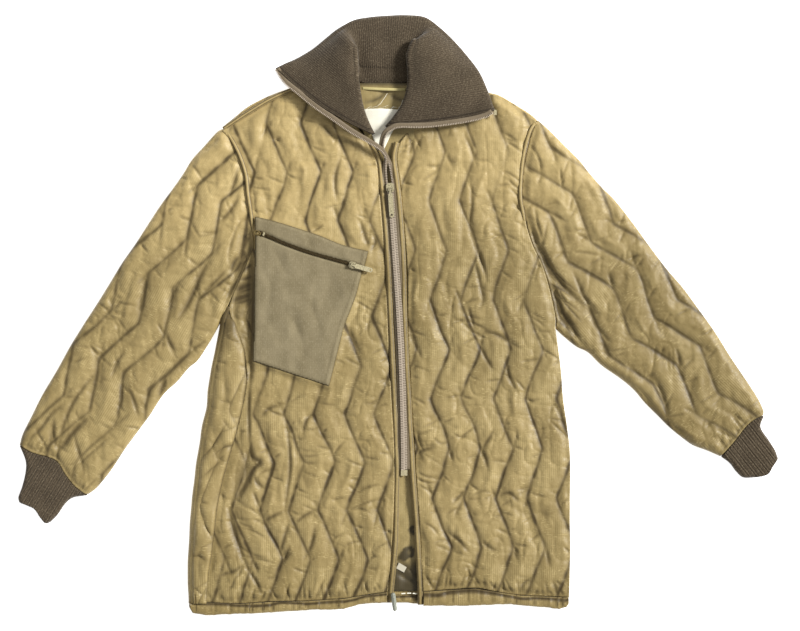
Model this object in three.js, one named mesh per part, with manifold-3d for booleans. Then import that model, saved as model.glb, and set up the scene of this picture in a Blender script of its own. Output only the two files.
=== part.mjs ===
/**
 * Quilted liner jacket, laid flat on its back with the front up and the collar folded open.
 *
 * Millimetres. +Z is up off the surface, +Y runs from the hem to the collar, and +X points to
 * the side of the wearer's left arm. The origin lies on the surface, under the back. Left and
 * right are the wearer's. Every cloth piece is a wall of its own, a narrow gap off its neighbours.
 */
import * as THREE from 'three';
import { mergeVertices } from 'three/addons/utils/BufferGeometryUtils.js';
import Module from 'manifold-3d';

// ---- driving dimensions ---------------------------------------------------------------------

const SEAM_GAP = 0.3;            // between pieces that lie on each other
const ARMHOLE_GAP = 1.1;         // between the edges of two curved pieces
const QUILT_PERIOD = 152;        // one whole zigzag of a stitch line
const QUILT_SWING = 13.5;        // how far a zigzag leaves its mean line, each way
const EDGE_EASE = 16;            // a puff rises over this distance from a panel's edge

// Heights of the layers off the surface, from the lowest up.
const LEVEL = {
  backTop: 6.5,                  // lining side of the back
  lining: 7.4,
  frontUnder: 8.6,               // lining side of the fronts
  seam: 13,                      // outer side of a front along its edges
  stitch: 14,                    // outer side of a front along a stitch line
  crest: 21.5,                   // outer side of a front between two stitch lines
};

const ZIP = { teeth: 6.4, thick: 2.6, tape: 1, tapeWidth: 4.4, height: 18 };
const BAND = { width: 9, thick: 3, height: 14.4 };
const KNIT = 4.4;                // a doubled rib knit
const CASING_ROUND = 5;          // rounding of a hem casing's lower edge

// ---- short tables ---------------------------------------------------------------------------

// The body at heights up the jacket: its side edges and the outer edges of both front bands.
// Above the armholes' lowest points the sides follow the armhole seams.
const BODY = [
  { y: -424, right: -319, bandRight: -12, bandLeft: 44, left: 270 },
  { y: -380, right: -319, bandRight: -9, bandLeft: 42, left: 271 },
  { y: -338, right: -318, bandRight: -6, bandLeft: 40, left: 272 },
  { y: -300, right: -316, bandRight: -3, bandLeft: 38, left: 272 },
  { y: -262, right: -313, bandRight: -1, bandLeft: 35, left: 272 },
  { y: -222, right: -307, bandRight: -2, bandLeft: 32, left: 272 },
  { y: -184, right: -302, bandRight: -2, bandLeft: 30, left: 271 },
  { y: -145, right: -295, bandRight: -4, bandLeft: 28, left: 267 },
  { y: -107, right: -289, bandRight: -6, bandLeft: 26, left: 261 },
  { y: -70, right: -283, bandRight: -8, bandLeft: 24, left: 258 },
  { y: -30, right: -276, bandRight: -10, bandLeft: 22, left: 253 },
  { y: 0, right: -270, bandRight: -11, bandLeft: 20, left: 249 },
  { y: 19, right: -267, bandRight: -12, bandLeft: 19, left: 248 },
  { y: 50, right: -254, bandRight: -13, bandLeft: 18, left: 243 },
  { y: 80, right: -240, bandRight: -15, bandLeft: 18, left: 235 },
  { y: 108, right: -229, bandRight: -16, bandLeft: 17, left: 225 },
  { y: 132, right: -222, bandRight: -17, bandLeft: 16, left: 214 },
  { y: 160, right: -222, bandRight: -19, bandLeft: 14, left: 205 },
  { y: 192, right: -226, bandRight: -22, bandLeft: 12, left: 199 },
  { y: 228, right: -230, bandRight: -25, bandLeft: 8, left: 196 },
  { y: 266, right: -239, bandRight: -30, bandLeft: 3, left: 201 },
  { y: 290, right: -251, bandRight: -42, bandLeft: 8, left: 207 },
  { y: 312, right: -268, bandRight: -56, bandLeft: 24, left: 215 },
  { y: 326, right: -276, bandRight: -62, bandLeft: 32, left: 222 },
  { y: 392, right: -300, bandRight: -74, bandLeft: 44, left: 240 },
];

// The back comes round the right side on to the front, as far as the side seam.
const SIDE_SEAM = [
  { y: -424, x: -294 }, { y: -380, x: -292 }, { y: -338, x: -285 }, { y: -280, x: -279 },
  { y: -231, x: -269 }, { y: -190, x: -257 }, { y: -157, x: -247 }, { y: -120, x: -238 },
  { y: -76, x: -231 }, { y: -30, x: -236 }, { y: 0, x: -248 }, { y: 19, x: -259 },
];

// Shoulders, from the neck point outwards: the fold of the silhouette, and the front's seam.
const SHOULDER_RIGHT = [
  { x: -276, fold: 306, seam: 303 }, { x: -268, fold: 312, seam: 308 }, { x: -251, fold: 329, seam: 319 },
  { x: -226, fold: 349, seam: 334 }, { x: -193, fold: 365, seam: 354 }, { x: -156, fold: 377, seam: 370 },
  { x: -74, fold: 392, seam: 388 },
];
const SHOULDER_LEFT = [
  { x: 46, fold: 390, seam: 387 }, { x: 142, fold: 370, seam: 367 }, { x: 162, fold: 365, seam: 361 },
  { x: 186, fold: 351, seam: 347 }, { x: 210, fold: 336, seam: 331 }, { x: 225, fold: 325, seam: 320 },
];

// Quilting of each front: mean stitch lines x = first + lean y + k (pitch + spread y).
const QUILT_FRONT_RIGHT = { first: -21, lean: -0.024, pitch: -48.5, spread: -0.012, vertex: 170, lines: 6 };
const QUILT_FRONT_LEFT = { first: 20.2, lean: -0.013, pitch: 48.3, spread: 0, vertex: 198, lines: 6 };

// Sleeves: where each section from the armhole to the cuff seam meets the upper and lower folds.
const SLEEVE_RIGHT = {
  side: -1,
  vertex: 38,
  sections: [
    { over: [-267, 312], under: [-268, 19] }, { over: [-318, 260], under: [-288, -19] },
    { over: [-360, 199], under: [-313, -53] }, { over: [-401, 138], under: [-343, -85] },
    { over: [-441, 76], under: [-371, -117] }, { over: [-481, 13], under: [-396, -153] },
    { over: [-519, -50], under: [-421, -188] }, { over: [-555, -115], under: [-446, -224] },
    { over: [-583, -182], under: [-476, -254] },
  ],
  cuffSag: 14,
};
const SLEEVE_LEFT = {
  side: 1,
  vertex: 78,
  sections: [
    { over: [222, 326], under: [249, 0] }, { over: [273, 277], under: [281, -25] },
    { over: [320, 223], under: [314, -48] }, { over: [368, 168], under: [347, -73] },
    { over: [411, 110], under: [377, -100] }, { over: [457, 53], under: [405, -130] },
    { over: [499, -6], under: [434, -158] }, { over: [538, -67], under: [467, -181] },
    { over: [572, -129], under: [505, -195] },
  ],
  cuffSag: 4,
};
const CUFF_RIGHT = [
  { over: [-580, -189], under: [-479, -258] }, { over: [-575, -210], under: [-499, -263] },
  { over: [-576, -232], under: [-513, -274] }, { over: [-582, -254], under: [-528, -291] },
  { over: [-583, -266], under: [-543, -300] },
];
const CUFF_LEFT = [
  { over: [569, -136], under: [510, -198] }, { over: [570, -152], under: [520, -208] },
  { over: [581, -171], under: [531, -221] }, { over: [591, -186], under: [543, -228] },
  { over: [595, -199], under: [559, -229] },
];

// Collar: sections from the right front's end round the neck to the left one. Each gives its neck
// seam, the roll or first visible edge, the outer edge, the lift of its face between the two, how far
// the cloth tucks on below the edge, and how far the section bows sideways.
const COLLAR = [
  { seam: [-38, 304, 17], roll: [-35, 302, 26], edge: [-183, 402, 18], belly: 4, tuck: 0, sag: -9 },
  { seam: [-50, 322, 17], roll: [-44, 321, 28], edge: [-168, 410, 15], belly: 5, tuck: 0, sag: -4 },
  { seam: [-59, 348, 17], roll: [-53, 347, 30], edge: [-151, 418, 12], belly: 7, tuck: 0 },
  { seam: [-66, 379, 16], roll: [-58, 378, 33], edge: [-126, 433, 9], belly: 9, tuck: 4 },
  { seam: [-70, 399, 12], roll: [-60, 406, 33], edge: [-104, 451, 7], belly: 9, tuck: 9 },
  { seam: [-68, 404, 9], roll: [-61, 434, 30], edge: [-86, 465, 6], belly: 6, tuck: 16 },
  { seam: [-54, 386, 9], roll: [-57, 410, 14], edge: [-64, 476, 7], belly: 3, tuck: 34 },
  { seam: [-34, 383, 9], roll: [-34, 406, 14], edge: [-38, 480, 7], belly: 3, tuck: 46 },
  { seam: [-12, 382, 9], roll: [-12, 405, 14], edge: [-10, 482, 7], belly: 3, tuck: 50 },
  { seam: [10, 384, 9], roll: [10, 407, 14], edge: [18, 483, 7], belly: 3, tuck: 46 },
  { seam: [24, 388, 9], roll: [26, 420, 15], edge: [46, 481, 7], belly: 3, tuck: 30 },
  { seam: [38, 402, 10], roll: [29, 444, 28], edge: [68, 466, 6], belly: 5, tuck: 16 },
  { seam: [36, 398, 13], roll: [21, 425, 32], edge: [90, 445, 9], belly: 8, tuck: 9 },
  { seam: [34, 382, 16], roll: [23, 400, 32], edge: [109, 423, 12], belly: 9, tuck: 4 },
  { seam: [31, 366, 17], roll: [22, 375, 31], edge: [127, 398, 19.5], belly: 7, tuck: 0 },
  { seam: [22, 344, 17], roll: [14, 348, 29], edge: [139, 371, 24], belly: 5, tuck: 0 },
  { seam: [5, 324, 17], roll: [1, 328, 28], edge: [147, 348, 25], belly: 3, tuck: 0, sag: 2 },
  { seam: [-8, 313, 17], roll: [-12, 313, 26], edge: [151, 338, 25], belly: 1, tuck: 0, sag: 4 },
];

// Zip tape beside the teeth, from the bottom stop to the collar's corners.
const ZIP_LINE = [
  { y: -216, x: 14 }, { y: -200, x: 14 }, { y: -150, x: 13.4 }, { y: -100, x: 12 }, { y: -50, x: 10.4 },
  { y: 0, x: 8 }, { y: 50, x: 5 }, { y: 100, x: 1.5 }, { y: 150, x: -2 }, { y: 190, x: -5 }, { y: 222, x: -7.8 },
];
const OPEN_TAPE_RIGHT = [
  { x: -17, y: 240, z: 17.4 }, { x: -18, y: 258, z: 18.5 }, { x: -22, y: 271, z: 21 }, { x: -40, y: 284, z: 24.5 },
  { x: -66, y: 300, z: 26.5 }, { x: -95, y: 320, z: 26.5 }, { x: -121, y: 339, z: 25.5 },
  { x: -148, y: 361, z: 23 }, { x: -170, y: 381, z: 20 }, { x: -186, y: 399, z: 18 },
];
const OPEN_TAPE_LEFT = [
  { x: -2.4, y: 240, z: 16.6 }, { x: -7, y: 262, z: 16.2 }, { x: -15, y: 281, z: 18 }, { x: -15, y: 294, z: 23.5 },
  { x: -8, y: 303, z: 27 }, { x: 10, y: 306.8, z: 27 }, { x: 50, y: 308.5, z: 26.5 }, { x: 104, y: 315.5, z: 26 },
  { x: 138, y: 323, z: 25.5 }, { x: 153, y: 331.5, z: 25.5 },
];

// Patch pocket, outlined from the end of its zip at the upper outer corner.
const POCKET = {
  zip: [{ x: -207, y: 147 }, { x: -171, y: 132 }, { x: -134, y: 119 }, { x: -97, y: 109.5 }, { x: -60, y: 99 }],
  stripTop: [{ x: -213, y: 172 }, { x: -178, y: 165 }, { x: -119, y: 147 }, { x: -82, y: 133 }, { x: -40, y: 123 }],
  slider: { x: -64.5, y: 100.2 },
  foot: [{ x: -218, y: -46 }, { x: -188, y: -58 }, { x: -157, y: -68 }, { x: -130, y: -77 }, { x: -102, y: -86 }],
  thick: 1.4,
};

const COLOUR = {
  shell: 0xb09e68, knit: 0x554b3c, pocket: 0x8c8164, lining: 0x8f7d4d, tape: 0xa79c86, cream: 0xd8cfa2,
  label: 0xece7d2, metal: 0xc9b98f, teeth: 0xb5a99a, cord: 0x8f9183,
};
const METALNESS = { metal: 0.85, teeth: 0.6 };

// ---- small helpers --------------------------------------------------------------------------

const { lerp, clamp, smoothstep } = THREE.MathUtils;

/** Reads column `want` of a table whose column `by` rises or falls, straight between rows. */
function read(table, by, at, want) {
  const rising = table[table.length - 1][by] > table[0][by];
  const rows = rising ? table : [...table].reverse();
  const place = clamp(at, rows[0][by], rows[rows.length - 1][by]);
  const next = Math.max(1, rows.findIndex((row) => row[by] >= place));
  const [low, high] = [rows[next - 1], rows[next]];
  return lerp(low[want], high[want], (place - low[by]) / (high[by] - low[by]));
}

/** A point part of the way along a list of points, counted in rows. */
function along(points, part) {
  const place = clamp(part, 0, 1) * (points.length - 1);
  const start = Math.min(Math.floor(place), points.length - 2);
  return points[start].map((value, axis) => lerp(value, points[start + 1][axis], place - start));
}

/** Triangle wave from -1 at `vertex` to +1 half a period away. */
function zigzag(at, vertex) {
  const turn = (at - vertex) / QUILT_PERIOD;
  return 4 * Math.abs(turn - Math.round(turn)) - 1;
}

/** A closed body from flat positions and triangles, with its faces turned outwards. */
function closed(positions, faces) {
  const geometry = new THREE.BufferGeometry();
  geometry.setAttribute('position', new THREE.Float32BufferAttribute(positions, 3));
  const corner = (slot) => new THREE.Vector3().fromArray(positions, slot * 3);
  const volume = faces.reduce((sum, [a, b, c]) => sum + corner(a).dot(corner(b).cross(corner(c))), 0);
  geometry.setIndex(faces.flatMap(([a, b, c]) => (volume > 0 ? [a, b, c] : [a, c, b])));
  geometry.computeVertexNormals();
  return geometry;
}

/**
 * Closes a cloth wall from rows of paired points, { out, inn }, or null where there is no cloth.
 * A tube's rows close on themselves with `around`. Every free edge gets a rim.
 */
function wall(rows, { around = false } = {}) {
  const positions = [];
  const slots = rows.map((row) => row.map((pair) => {
    if (!pair) return null;
    positions.push(...pair.out, ...pair.inn);
    return positions.length / 3 - 2;
  }));
  const faces = [];
  const edges = new Map();
  const columns = rows[0].length;
  for (let r = 0; r + 1 < rows.length; r += 1) {
    for (let c = 0; c + (around ? 0 : 1) < columns; c += 1) {
      const next = (c + 1) % columns;
      const ring = [slots[r][c], slots[r][next], slots[r + 1][next], slots[r + 1][c]];
      if (ring.some((slot) => slot === null)) continue;
      faces.push([ring[0], ring[1], ring[2]], [ring[0], ring[2], ring[3]]);
      faces.push([ring[2] + 1, ring[1] + 1, ring[0] + 1], [ring[3] + 1, ring[2] + 1, ring[0] + 1]);
      ring.forEach((slot, corner) => edges.set(`${slot},${ring[(corner + 1) % 4]}`, [slot, ring[(corner + 1) % 4]]));
    }
  }
  for (const [from, to] of edges.values()) {
    if (edges.has(`${to},${from}`)) continue;
    faces.push([to, from, from + 1], [to, from + 1, to + 1]);
  }
  return closed(positions, faces);
}

/** Gives a grid of middle points a thickness, half to each side of the cloth. */
function thicken(grid, thickness, options) {
  const at = (r, c) => new THREE.Vector3(...grid[clamp(r, 0, grid.length - 1)][clamp(c, 0, grid[0].length - 1)]);
  return wall(grid.map((row, r) => row.map((point, c) => {
    const normal = at(r, c + 1).sub(at(r, c - 1)).cross(at(r + 1, c).sub(at(r - 1, c)));
    const half = normal.setLength(thickness / 2);
    const middle = new THREE.Vector3(...point);
    return { out: middle.clone().add(half).toArray(), inn: middle.clone().sub(half).toArray() };
  })), options);
}

/** A flat strip along a route of { x, y, z } points, which are the middle of its upper side. */
function strip(route, width, thick) {
  return wall(route.map((here, i) => {
    const before = route[Math.max(i - 1, 0)];
    const after = route[Math.min(i + 1, route.length - 1)];
    const run = Math.hypot(after.x - before.x, after.y - before.y);
    const across = [(-(after.y - before.y) / run) * (width / 2), ((after.x - before.x) / run) * (width / 2)];
    return [1, -1].map((side) => {
      const [x, y] = [here.x + side * across[0], here.y + side * across[1]];
      return { out: [x, y, here.z], inn: [x, y, here.z - thick] };
    });
  }));
}

/** A closed outline extruded upwards from `base`. */
function plate(outline, thick, base, holes = []) {
  const shape = new THREE.Shape(outline.map(([x, y]) => new THREE.Vector2(x, y)));
  shape.holes = holes;
  return new THREE.ExtrudeGeometry(shape, { depth: thick, bevelEnabled: false, curveSegments: 8 })
    .translate(0, 0, base);
}

const jacket = new THREE.Group();

/** Hangs a named mesh in the scene graph with a plain material of its colour. */
function add(name, geometry, colour, parent = jacket) {
  const metalness = METALNESS[colour] ?? 0;
  const material = new THREE.MeshStandardMaterial({
    color: COLOUR[colour], roughness: metalness ? 0.4 : 0.8, metalness,
  });
  const mesh = new THREE.Mesh(geometry, material);
  mesh.name = name;
  parent.add(mesh);
  return mesh;
}

// ---- the quilted body -----------------------------------------------------------------------

/** Place of a stitch line, or of a crest halfway between two, at height y. */
function quiltLine(quilt, line, y) {
  const mean = quilt.first + quilt.lean * y + line * (quilt.pitch + quilt.spread * y);
  return mean + QUILT_SWING * zigzag(y, quilt.vertex);
}

/** How far up a puff a place stands: 0 on a stitch line, 1 midway between two. */
function puff(quilt, x, y) {
  const phase = (x - quiltLine(quilt, 0, y)) / (quilt.pitch + quilt.spread * y);
  return Math.abs(Math.sin(Math.PI * phase)) ** 0.8;
}

/** Outer side of a front at a place that lies `inside` a panel's nearest edge. */
function frontHeight(quilt, x, y, inside) {
  const ease = smoothstep(inside, 0, EDGE_EASE);
  return lerp(LEVEL.seam, lerp(LEVEL.stitch, LEVEL.crest, puff(quilt, x, y)), ease);
}

const ROWS_LOW = [-407, -375, -338, -300, -262, -222, -184, -145, -107, -68, -30, 6, 44, 82, 120, 160, 198];
const ROWS_HIGH = [0.22, 0.42, 0.6, 0.74, 0.88, 1];    // shares of the way from there to the shoulder
const COLUMN_MIN = 3.4;                               // columns that run off a panel close up to this

/**
 * One quilted front. Its columns run along the stitch lines and the crests between them, and
 * close up along an edge that the lines run off. The upper rows turn to follow the shoulder.
 */
function front({ quilt, shoulder, inner, outer }) {
  const count = 2 * quilt.lines + 1;
  const top = ROWS_LOW[ROWS_LOW.length - 1];
  const heights = [...ROWS_LOW.map((y) => () => y),
    ...ROWS_HIGH.map((share) => (x) => lerp(top, read(shoulder, 'x', x, 'seam'), share))];
  return wall(heights.map((height, r) => {
    const row = [];
    for (let c = -1; c <= count; c += 1) {
      let x = (inner(top) + outer(top)) / 2;
      let y = height(x);
      for (let pass = 0; pass < 12; pass += 1) {
        const [near, far] = [inner(y), outer(y)];
        const side = Math.sign(far - near);
        const low = near + side * COLUMN_MIN * (c + 1);
        const high = far - side * COLUMN_MIN * (count - c);
        const wanted = c < 0 ? near : c === count ? far : quiltLine(quilt, c / 2, y);
        x = side > 0 ? clamp(wanted, low, high) : clamp(wanted, high, low);
        y = height(x);
      }
      const inside = Math.min(Math.abs(x - inner(y)), Math.abs(outer(y) - x),
        Math.abs(read(shoulder, 'x', x, 'seam') - y), r === 0 ? 0 : EDGE_EASE);
      const z = frontHeight(quilt, x, y, inside);
      row.push({ out: [x, y, z], inn: [x, y, LEVEL.frontUnder] });
    }
    return row;
  }));
}

/** Right side of the front: the side seam, then the armhole. */
const frontRightOuter = (y) => (y < 19 ? read(SIDE_SEAM, 'y', y, 'x') + 1
  : Math.min(read(BODY, 'y', y, 'right') + (y < 60 ? lerp(9, 1, (y - 19) / 41) : 1), -60));

add('front_right', front({
  quilt: QUILT_FRONT_RIGHT,
  shoulder: SHOULDER_RIGHT,
  inner: (y) => read(BODY, 'y', y, 'bandRight') - SEAM_GAP,
  outer: frontRightOuter,
}), 'shell');

add('front_left', front({
  quilt: QUILT_FRONT_LEFT,
  shoulder: SHOULDER_LEFT,
  inner: (y) => read(BODY, 'y', y, 'bandLeft') + SEAM_GAP,
  outer: (y) => read(BODY, 'y', y, 'left') - 1,
}), 'shell');

// The back lies flat. On the right it folds round the side and ends at the side seam.
const BACK_ROWS = [-407, -372, -338, -300, -262, -222, -184, -145, -107, -70, -30, 0, 19, 50, 80, 108, 132,
  160, 192, 228, 266, 290, 312];
const BACK_COLUMNS = 9;
const BACK_ROWS_HIGH = [0.35, 0.7, 1];               // shares of the way on to the shoulder folds

/** Top edge of the back: both shoulder folds and the shallow neckline between them. */
function backTop(x) {
  if (x < -74) return read(SHOULDER_RIGHT, 'x', x, 'fold');
  if (x > 46) return read(SHOULDER_LEFT, 'x', x, 'fold');
  const across = (x + 74) / 120;
  return lerp(392, 390, across) - 13 * Math.sin(Math.PI * across) ** 0.5;
}

/** The back as rows from the left side across to the right, and round the right side below the arm. */
function back() {
  const last = BACK_ROWS[BACK_ROWS.length - 1];
  const heights = [...BACK_ROWS.map((y) => () => y),
    ...BACK_ROWS_HIGH.map((share) => (x) => lerp(last, backTop(x), share))];
  return wall(heights.map((height, r) => {
    const row = [];
    const wraps = r < BACK_ROWS.length && BACK_ROWS[r] <= 19;
    for (let c = 0; c <= BACK_COLUMNS; c += 1) {
      let y = height(0);
      let x = 0;
      for (let pass = 0; pass < 8; pass += 1) {
        const right = read(BODY, 'y', Math.min(y, 312), 'right') + (wraps ? 9 : 1);
        x = lerp(read(BODY, 'y', Math.min(y, 322), 'left') - 1, right, c / BACK_COLUMNS);
        y = height(x);
      }
      row.push({ out: [x, y, 0], inn: [x, y, LEVEL.backTop] });
    }
    const fold = read(BODY, 'y', height(0), 'right');
    const seam = read(SIDE_SEAM, 'y', height(0), 'x') - SEAM_GAP;
    const crest = LEVEL.seam + 2 * smoothstep(seam - fold, 10, 30);
    const turned = [
      { out: [fold + 2.5, 3], inn: [fold + 7.6, LEVEL.backTop + 0.3] },
      { out: [fold, 7.5], inn: [fold + 7.2, 7.6] },
      { out: [fold + 2.5, crest - 2], inn: [fold + 7.6, LEVEL.frontUnder] },
      { out: [lerp(fold + 8, seam, 0.4), crest], inn: [lerp(fold + 8.4, seam, 0.4), LEVEL.frontUnder + 0.1] },
      { out: [seam, LEVEL.seam], inn: [seam, LEVEL.frontUnder + 0.1] },
    ];
    turned.forEach(({ out, inn }) => row.push(wraps
      ? { out: [out[0], height(0), out[1]], inn: [inn[0], height(0), inn[1]] } : null));
    return row;
  }));
}
add('back', back(), 'shell');

// ---- sleeves and cuffs ----------------------------------------------------------------------

// A flattened tube: the height of its slit's middle, half the slit, and the rounding of its folds.
const TUBE = { middle: 8, slit: 0.7, round: 9 };
const CUFF_TUBE = { middle: 7.5, slit: 0.8, round: 8 };
const CUFF_PARTS = [0.12, 0.24, 0.37, 0.5, 0.63, 0.76, 0.88];
const CUFF_GAP = 0.7;            // between a sleeve's end and its cuff
const SLEEVE_CHANNELS = 4;
const SLEEVE_ROWS = 15;

/**
 * One section of a flattened tube between two folds. `place(part)` gives x and y across it, and
 * `top(part)` the height of its upper side. The lower side lies flat on the surface.
 */
function tubeSection(place, width, parts, top, slit = TUBE) {
  const near = 5 / width;
  const upper = [0, near, ...parts, 1 - near, 1];
  const bulge = (part) => Math.sqrt(1 - (1 - Math.min((Math.min(part, 1 - part) * width) / slit.round, 1)) ** 2);
  const inset = (part) => clamp(part, near * 1.5, 1 - near * 1.5) * 0.96 + 0.02;
  const pair = (part, outZ, innZ) => ({ out: [...place(part), outZ], inn: [...place(inset(part)), innZ] });
  const over = upper.map((part) => pair(part, lerp(slit.middle, top(part), bulge(part)),
    slit.middle + slit.slit * Math.min(1, bulge(part) + 0.01)));
  const below = upper.slice(1, -1).reverse().map((part) => pair(part, slit.middle * (1 - bulge(part)) ** 2,
    slit.middle - slit.slit));
  return [...over, ...below];
}

/** Armhole seam of one side, from the shoulder fold to its lowest point. */
function armhole(side, part) {
  const column = side < 0 ? 'right' : 'left';
  const [high, low] = side < 0 ? [312, 19] : [326, 0];
  const y = lerp(high, low, part);
  return [read(BODY, 'y', y, column) + side * ARMHOLE_GAP, y];
}

/** A sleeve: its sections swing from the armhole's curve to the cuff seam. */
function sleeve({ side, vertex, sections, cuffSag }) {
  const over = sections.map((section) => section.over);
  const under = sections.map((section) => section.under);
  const rows = [];
  for (let r = 0; r < SLEEVE_ROWS; r += 1) {
    const down = r / (SLEEVE_ROWS - 1);
    const [high, low] = [along(over, down), along(under, down)];
    const width = Math.hypot(high[0] - low[0], high[1] - low[1]);
    const curve = Math.max(0, 1 - down / 0.55) ** 2;
    const place = (part) => {
      const seam = armhole(side, part);
      return [0, 1].map((axis) => {
        const chord = lerp(over[0][axis], under[0][axis], part);
        const lift = axis === 1 ? cuffSag * Math.sin(Math.PI * part) * down ** 6 : 0;
        return lerp(high[axis], low[axis], part) + curve * (seam[axis] - chord) + lift;
      });
    };
    const swing = (QUILT_SWING / width) * zigzag(down * 590, vertex);
    const parts = [];
    for (let k = 1; k < 2 * SLEEVE_CHANNELS; k += 1) {
      parts.push(clamp(k / (2 * SLEEVE_CHANNELS) - swing, (8 + 3 * k) / width, 1 - (8 + 3 * (8 - k)) / width));
    }
    const ends = Math.min(r, SLEEVE_ROWS - 1 - r) > 0 ? 1 : 0;
    const top = (part) => {
      const index = parts.indexOf(part);
      const raised = index >= 0 && index % 2 === 0 ? 1 : 0;
      return lerp(LEVEL.seam, lerp(LEVEL.stitch, LEVEL.crest, raised), ends);
    };
    rows.push(tubeSection(place, width, parts, top));
  }
  return wall(rows, { around: true });
}
add('sleeve_right', sleeve(SLEEVE_RIGHT), 'shell');
add('sleeve_left', sleeve(SLEEVE_LEFT), 'shell');

/** A rib-knit cuff, a flattened tube that starts along its sleeve's curved end and draws in. */
function cuff(sections, { side, sections: arm, cuffSag }) {
  const end = arm[arm.length - 1];
  const chord = [0, 1].map((axis) => end.under[axis] - end.over[axis]);
  const away = [-side * chord[1], side * chord[0]].map((value) => (value / Math.hypot(...chord)) * CUFF_GAP);
  const moved = (point) => [point[0] + away[0], point[1] + away[1]];
  return wall([{ over: moved(end.over), under: moved(end.under) }, ...sections].map(({ over, under }, r) => {
    const width = Math.hypot(over[0] - under[0], over[1] - under[1]);
    const lift = cuffSag * [1, 0.9, 0.4][r] || 0;
    const place = (part) => [lerp(over[0], under[0], part),
      lerp(over[1], under[1], part) + lift * Math.sin(Math.PI * part)];
    return tubeSection(place, width, CUFF_PARTS, () => 15, CUFF_TUBE);
  }), { around: true });
}
add('cuff_right', cuff(CUFF_RIGHT, SLEEVE_RIGHT), 'knit');
add('cuff_left', cuff(CUFF_LEFT, SLEEVE_LEFT), 'knit');

// ---- collar ---------------------------------------------------------------------------------

/** One section of the collar's middle, from the neck seam over the roll to the tucked free edge. */
function collarSection({ seam, roll, edge, belly, tuck, sag = 0 }) {
  const length = Math.hypot(edge[0] - roll[0], edge[1] - roll[1]);
  const out = [0, 1].map((axis) => (edge[axis] - roll[axis]) / length);
  const face = (part, lift) => {
    const bow = sag * Math.sin(Math.PI * part);
    const shift = [bow * out[1], -bow * out[0], lift];
    return roll.map((value, axis) => lerp(value, edge[axis], part) + shift[axis]);
  };
  const turned = 4 + tuck;
  return [
    seam,
    seam.map((value, axis) => lerp(value, roll[axis], 0.5) - (axis < 2 ? 2 * out[axis] : 0)),
    face(0, -2),
    face(Math.min(6 / length, 0.2), 0.5),
    face(0.25, belly * 0.7),
    face(0.5, belly),
    face(0.75, belly * 0.8),
    face(1 - Math.min(5 / length, 0.2), 1),
    [edge[0], edge[1], Math.max(edge[2] - 2, 5)],
    [edge[0] - out[0] * turned, edge[1] - out[1] * turned, Math.max(edge[2] - 7, 2.5)],
  ];
}
add('collar', thicken(COLLAR.map(collarSection), KNIT), 'knit');

// ---- zip, front bands and hems --------------------------------------------------------------

/** Places of the front zip's middle line, at one height, shifted sideways. */
const zipRoute = (shift, z) => ZIP_LINE.map(({ x, y }) => ({ x: x + shift, y, z }));

const tapeShift = ZIP.teeth / 2 + SEAM_GAP + ZIP.tapeWidth / 2;
for (const [name, side, open] of [['right', -1, OPEN_TAPE_RIGHT], ['left', 1, OPEN_TAPE_LEFT]]) {
  const route = [...zipRoute(side * tapeShift, ZIP.height - 1), ...open];
  add(`zip_tape_${name}`, strip(route, ZIP.tapeWidth, ZIP.tape), 'tape');
}
add('zip_chain', strip(zipRoute(0, ZIP.height), ZIP.teeth, ZIP.thick), 'teeth');

/** The narrow doubled strip that edges one front, from the hem to the neck. */
function band(side) {
  const column = side < 0 ? 'bandRight' : 'bandLeft';
  const rows = BODY.filter(({ y }) => y <= 290);
  const route = [{ ...rows[0], y: -441 }, ...rows].map((row) => (
    { x: row[column] - side * (BAND.width / 2 + SEAM_GAP), y: row.y, z: BAND.height }));
  return strip(route, BAND.width, BAND.thick);
}
add('band_right', band(-1), 'shell');
add('band_left', band(1), 'shell');

/** A hem casing: a flattened tube of cloth below a panel's lower edge. */
function casing(from, to, base, thick, steps) {
  const rows = [];
  for (let i = 0; i <= steps; i += 1) {
    const x = lerp(from, to, i / steps);
    const droop = 4 * Math.sin((Math.PI * (x + 319)) / 590);
    const top = -407.6;
    const foot = -441 + droop + 8 * smoothstep(x, -120, 20);
    const profile = [[0, 0.2], [0, 0.8], [2.5, 1], [-foot + top - CASING_ROUND, 1], [-foot + top, 0.62],
      [-foot + top, 0.3], [-foot + top - CASING_ROUND, 0], [2.5, 0]];
    rows.push(profile.map(([down, share]) => [x, top - down, base + thick * share]));
  }
  return solidTube(rows);
}

/** A solid bar through rings of points, closed at both ends. */
function solidTube(rings) {
  const positions = rings.flat(2);
  const n = rings[0].length;
  const faces = [];
  for (let r = 0; r + 1 < rings.length; r += 1) {
    for (let c = 0; c < n; c += 1) {
      const [a, b] = [r * n + c, r * n + ((c + 1) % n)];
      faces.push([a, b, b + n], [a, b + n, a + n]);
    }
  }
  const last = (rings.length - 1) * n;
  for (let c = 1; c + 1 < n; c += 1) faces.push([0, c + 1, c], [last, last + c, last + c + 1]);
  return closed(positions, faces);
}
add('hem_back', casing(-316, 268, 0, 7.6, 14), 'shell');
add('hem_right', casing(-319, -13.5, 7.9, 7.6, 8), 'shell');
add('hem_left', casing(45.5, 270, 7.9, 7.6, 6), 'shell');

// ---- what shows inside ----------------------------------------------------------------------

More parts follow.
